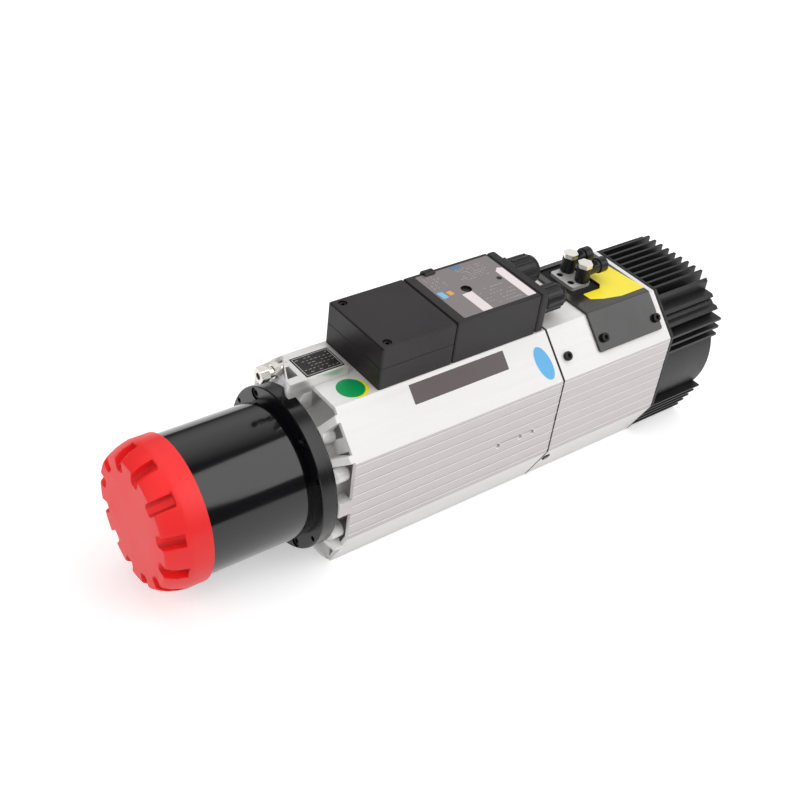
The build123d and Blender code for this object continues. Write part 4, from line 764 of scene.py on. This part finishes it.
green_vinyl = vinyl("green_vinyl", (0.0, 0.30, 0.085))
yellow_vinyl = vinyl("yellow_vinyl", (0.94, 0.78, 0.02))
blue_vinyl = vinyl("blue_vinyl", (0.075, 0.42, 0.78))
brown_vinyl = vinyl("brown_grey_vinyl", (0.085, 0.060, 0.060), 0.46)
grey_foil = finish_of(
    "grey_label_foil", (0.24, 0.215, 0.215), 0.36, 0.45, grain_scale=2600.0, bump=0.12, spread=0.06
)
pink_white = vinyl("pinkish_white_print", (0.78, 0.69, 0.70))
pale_blue = vinyl("pale_blue_print", (0.20, 0.47, 0.70))
deep_blue = vinyl("deep_blue_print", (0.06, 0.16, 0.30))
orange_print = vinyl("orange_print", (0.72, 0.33, 0.06))

# %% Lay the labels
top_flat = level(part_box("main_housing")[1].z / MM)
flat_sheet("round_label_yellow", [ellipse(53.5, -26.4, 12.2, 12.2)], top_flat, yellow_vinyl)
flat_sheet("round_label_green", [ellipse(51.0, -24.8, 12.0, 12.0)], top_flat, green_vinyl, 0.12, 0.24)
brown_edge = rounded([(97, -20.8), (198.5, -20.8), (198.5, -3.7), (97, -3.7)], 0.6)
flat_sheet("side_label_brown", [brown_edge], FACET, brown_vinyl)
flat_sheet("side_label_blue", [ellipse(236.4, -27.0, 8.0, 16.0, 12.0)], FACET, blue_vinyl)
block_top = level(122.5)
label_edge = rounded([
    (154.8, -34), (235.3, -34), (235.3, 34), (176.5, 34),
    (176.5, 31.5), (164.5, 31.5), (164.5, 34), (154.8, 34),
], 1.2)
screw_holes = [ellipse(184.35, 0, 5.0, 5.0), ellipse(221.4, 0, 2.6, 2.6)]
flat_sheet("block_label", [label_edge] + screw_holes, block_top, grey_foil)
PRINTS = [
    ("block_band_rear", [(225.6, -33.6), (234.9, -33.6), (234.9, 12), (230.5, 14), (225.6, 10)], pink_white),
    ("block_band_near", [(175.6, -33.6), (186.2, -33.6), (186.2, -5.2), (175.2, -5.6)], pink_white),
    ("block_patch_pale", [(157.2, -4.2), (163.0, -3.4), (162.2, 5.6), (156.4, 6.2)], pale_blue),
    ("block_patch_orange", [(165.4, -2.4), (170.6, -1.6), (169.8, 4.2), (164.6, 3.6)], orange_print),
    ("block_patch_deep", [(191.8, 28.8), (202.4, 28.4), (202.4, 33.6), (191.8, 33.6)], deep_blue),
]
for name, outline, material in PRINTS:
    flat_sheet(name, [rounded(outline, 0.5)], block_top, material, 0.12, 0.17)
cover_label = [
    (319.6, -24.4), (319.0, -14.9), (340.5, -14.9), (345.9, -9.6), (346.6, 13),
    (376.2, 13), (381.6, -33.6), (351, -33.9), (331, -29.4),
]
flat_sheet("cover_label_yellow", [rounded(cover_label, 1.5)], level(84.7), yellow_vinyl)

# %% [markdown]
# ## Rims of the side holes
# Three tapped holes open on the near side wall. A countersunk rim catches light all
# round a real hole, so each gets a thin bright ring with a sloping inner edge. The
# ring's outline is turned round the hole's own axis, as a lathe would cut it.

# %% Rings round the side holes
def turned_ring(name, centre, profile, material, steps=40):
    """A closed profile of (radius, height) in millimetres, turned round -Y at a centre."""
    shell = bmesh.new()
    rings = []
    for i in range(steps):
        c, s = math.cos(2 * math.pi * i / steps), math.sin(2 * math.pi * i / steps)
        corners = [(centre[0] + r * c, centre[1] - h, centre[2] + r * s) for r, h in profile]
        rings.append([shell.verts.new([v * MM for v in corner]) for corner in corners])
    for here, after in zip(rings, rings[1:] + rings[:1]):
        for k in range(len(profile)):
            n = (k + 1) % len(profile)
            shell.faces.new((here[k], here[n], after[n], after[k]))
    ring = new_object(name, smooth_mesh(shell, name, 30))
    wear_only(ring, material)
    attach(ring, "body")


housing_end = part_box("main_housing")[1].x / MM
RIM = [(1.95, -0.6), (2.9, 0.52), (3.2, 0.52), (3.35, 0.35), (3.35, -0.6)]
for i, from_end in enumerate((66.8, 41.3, 26.7)):
    turned_ring(f"side_hole_rim_{i + 1}", (housing_end - from_end, -73.0, 2.0), RIM, milled_metal)

# %% [markdown]
# ## Ruled lines on the blank labels
# A blank label would look unfinished without any print. Ruled lines fill it and say
# nothing: rows of short strokes whose lengths vary, as on an empty form. They could
# be a texture, but strokes as thin sheets keep sharp edges at any distance. One tree
# makes every row: a grid of points, a stroke on each, with seeded lengths and gaps.

# %% Tree for rows of strokes
stroke_tree = bpy.data.node_groups.new("rows_of_strokes", "GeometryNodeTree")
stroke_tree.interface.new_socket("Geometry", in_out="OUTPUT", socket_type="NodeSocketGeometry")
input_socket(stroke_tree, "Geometry", "NodeSocketGeometry")
STROKE_INPUTS = {
    "Length": 10 * MM, "Width": 10 * MM, "Stroke Length": 2 * MM, "Stroke Width": 0.3 * MM, "Keep": 0.8,
}
for label, value in STROKE_INPUTS.items():
    input_socket(stroke_tree, label, "NodeSocketFloat", value)
for label, value in (("Rows", 4), ("Columns", 6), ("Seed", 1)):
    input_socket(stroke_tree, label, "NodeSocketInt", value)
input_socket(stroke_tree, "Material", "NodeSocketMaterial")
entry = stroke_tree.nodes.new("NodeGroupInput")
grid = stroke_tree.nodes.new("GeometryNodeMeshGrid")
GRID_SOCKETS = {"Length": "Size X", "Width": "Size Y", "Columns": "Vertices X", "Rows": "Vertices Y"}
for label, socket in GRID_SOCKETS.items():
    join(stroke_tree, entry, label, grid, socket)
stroke = stroke_tree.nodes.new("GeometryNodeMeshCube")
box_size = stroke_tree.nodes.new("ShaderNodeCombineXYZ")
box_size.inputs["Z"].default_value = 0.03 * MM
join(stroke_tree, entry, "Stroke Length", box_size, "X")
join(stroke_tree, entry, "Stroke Width", box_size, "Y")
join(stroke_tree, box_size, "Vector", stroke, "Size")
chance = stroke_tree.nodes.new("FunctionNodeRandomValue")
chance.data_type = "BOOLEAN"
join(stroke_tree, entry, "Keep", chance, "Probability")
join(stroke_tree, entry, "Seed", chance, "Seed")
vary = stroke_tree.nodes.new("FunctionNodeRandomValue")
vary.data_type = "FLOAT_VECTOR"
vary.inputs[0].default_value, vary.inputs[1].default_value = (0.35, 1, 1), (1.0, 1, 1)
join(stroke_tree, entry, "Seed", vary, "Seed")
lay = stroke_tree.nodes.new("GeometryNodeInstanceOnPoints")
join(stroke_tree, grid, "Mesh", lay, "Points")
join(stroke_tree, stroke, "Mesh", lay, "Instance")
stroke_tree.links.new(chance.outputs[3], lay.inputs["Selection"])
stroke_tree.links.new(vary.outputs[0], lay.inputs["Scale"])
end_tree(stroke_tree, lay.outputs["Instances"], entry)


def strokes(name, place, centre, tilt, material, height=0.14, **settings):
    """Rows of strokes on a plane, round a centre in millimetres, turned by a tilt in degrees."""
    holder = new_object(name + "_rows", bpy.data.meshes.new(name + "_rows"))
    result = run_tree(holder, stroke_tree, name, material=material, **settings)
    at = Matrix.Translation((centre[0] * MM, centre[1] * MM, height * MM))
    result.data.transform(place @ at @ Matrix.Rotation(math.radians(tilt), 4, "Z"))
    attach(result, "body")
    print(f"{name:24s} strokes {len(result.data.polygons) // 6}")
    return result


# %% Rows on the labels
pale_print = vinyl("pale_grey_print", (0.62, 0.58, 0.57))
BLOCK_ROWS = [
    # name, centre, tilt, length, width, rows, columns, seed
    ("block_rows_near", (206, -18), 0, 30, 22, 6, 9, 3),
    ("block_rows_far", (206, 19), 0, 30, 17, 7, 9, 8),
    ("block_rows_front", (166, 20), 90, 16, 13, 4, 5, 5),
]
for name, centre, tilt, length, width, rows, columns, seed in BLOCK_ROWS:
    strokes(
        name, block_top, centre, tilt, pale_print, length=length * MM, width=width * MM, rows=rows,
        columns=columns, seed=seed, stroke_length=3.4 * MM, stroke_width=0.28 * MM, keep=0.62,
    )
name_low, name_high = (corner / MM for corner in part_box("nameplate"))
name_middle = ((name_low.x + name_high.x) / 2, (name_low.y + name_high.y) / 2)
name_top = level(name_high.z)
strokes(
    "nameplate_rows", name_top, name_middle, 0, pale_print, height=0.03, length=28 * MM, width=18 * MM,
    rows=6, columns=8, seed=2, stroke_length=2.9 * MM, stroke_width=0.32 * MM, keep=0.7,
)


def inset_edge(by):
    """The nameplate's outline, moved inwards by a few millimetres."""
    left, right, near, far = name_low.x + by, name_high.x - by, name_low.y + by, name_high.y - by
    return [(left, near), (right, near), (right, far), (left, far)]


flat_sheet("nameplate_frame", [inset_edge(1.2), inset_edge(1.6)], name_top, pale_print, -0.01, 0.04)

# %% [markdown]
# ## Studio
# A pale floor and large soft lamps light the object plainly. Large lamps give broad
# soft highlights on the black nose, and the floor fills the shadows from below.

# %% Floor and lamps
FLOOR_Z = cad_low.z
floor_mesh = bpy.data.meshes.new("studio_floor")
floor_corners = [(x, y, FLOOR_Z) for x, y in ((-6, -6), (6, -6), (6, 6), (-6, 6))]
floor_mesh.from_pydata(floor_corners, [], [(0, 1, 2, 3)])
floor = new_object("studio_floor", floor_mesh)
paper = bpy.data.materials.new("studio_paper")
paper.use_nodes = True
paper_face = paper.node_tree.nodes["Principled BSDF"]
paper_face.inputs["Base Color"].default_value = (0.80, 0.80, 0.80, 1)
paper_face.inputs["Roughness"].default_value = 0.9
paper_face.inputs["Emission Color"].default_value = (1, 1, 1, 1)
sheet_tree = paper.node_tree
seen_by = sheet_tree.nodes.new("ShaderNodeLightPath")
rays = [seen_by.outputs[f"Is {kind} Ray"] for kind in ("Camera", "Transmission", "Glossy")]
seen = reckon(sheet_tree, "MAXIMUM", reckon(sheet_tree, "MAXIMUM", rays[0], rays[1]), rays[2])
floor_place = sheet_tree.nodes.new("ShaderNodeTexCoord")
away = sheet_tree.nodes.new("ShaderNodeVectorMath")
away.operation = "LENGTH"
join(sheet_tree, floor_place, "Object", away, 0)
lift = remapped(sheet_tree, away.outputs["Value"], (0.9, 3.0), (0.44, 0.76))
sheet_tree.links.new(reckon(sheet_tree, "MULTIPLY", seen, lift), paper_face.inputs["Emission Strength"])
floor_mesh.materials.append(paper)


def soft_lamp(name, direction, distance, width, height, power):
    """A rectangular lamp that looks back at the middle of the object."""
    lamp = bpy.data.lights.new(name, "AREA")
    lamp.shape = "RECTANGLE"
    lamp.size, lamp.size_y, lamp.energy = width, height, power
    holder = new_object(name, lamp)
    middle = (cad_low + cad_high) / 2
    way = Vector(direction).normalized()
    holder.location = middle + way * distance
    holder.rotation_mode = "QUATERNION"
    holder.rotation_quaternion = way.to_track_quat("Z", "Y")
    return holder


soft_lamp("key_lamp", (0.45, -0.53, 0.77), 1.8, 1.5, 1.8, 18)
top_lamp = soft_lamp("top_lamp", (0.1, 0.35, 1.0), 1.9, 1.8, 1.2, 11)
nose_lamp = soft_lamp("nose_lamp", (-0.9, -0.25, 0.55), 1.7, 0.9, 1.2, 8)
for lamp in (top_lamp, nose_lamp):
    lamp.visible_glossy = False

# %% [markdown]
# ## What surrounds the studio
# Rays from the camera meet plain white. Rays that leave a dull surface meet an even
# grey, and rays that leave a glossy one meet a bright backdrop on one side and a dim
# room elsewhere, so that the black nose shows a band and not a flat grey.

# %% World
world = bpy.data.worlds.new("studio_world")
bpy.context.scene.world = world
world.use_nodes = True
background = world.node_tree.nodes["Background"]
background.inputs["Color"].default_value = (1, 1, 1, 1)
sky = world.node_tree
BACKDROP_SIDE = (0.52, 0.59, 0.61)
DULL_RAY_LIGHT = 0.36
ray_kind = sky.nodes.new("ShaderNodeLightPath")
outward = sky.nodes.new("ShaderNodeTexCoord")
towards = sky.nodes.new("ShaderNodeVectorMath")
towards.operation = "DOT_PRODUCT"
towards.inputs[1].default_value = Vector(BACKDROP_SIDE).normalized()
join(sky, outward, "Generated", towards, 0)
backdrop = remapped(sky, towards.outputs["Value"], (0.80, 0.98), (0.10, 0.95))
strength = sky.nodes.new("ShaderNodeMix")
strength.inputs["A"].default_value = DULL_RAY_LIGHT
join(sky, ray_kind, "Is Glossy Ray", strength, "Factor")
sky.links.new(backdrop, strength.inputs["B"])
white = sky.nodes.new("ShaderNodeMix")
white.inputs["B"].default_value = 1.0
join(sky, ray_kind, "Is Camera Ray", white, "Factor")
join(sky, strength, "Result", white, "A")
join(sky, white, "Result", background, "Strength")
bpy.context.scene.view_settings.view_transform = "Standard"
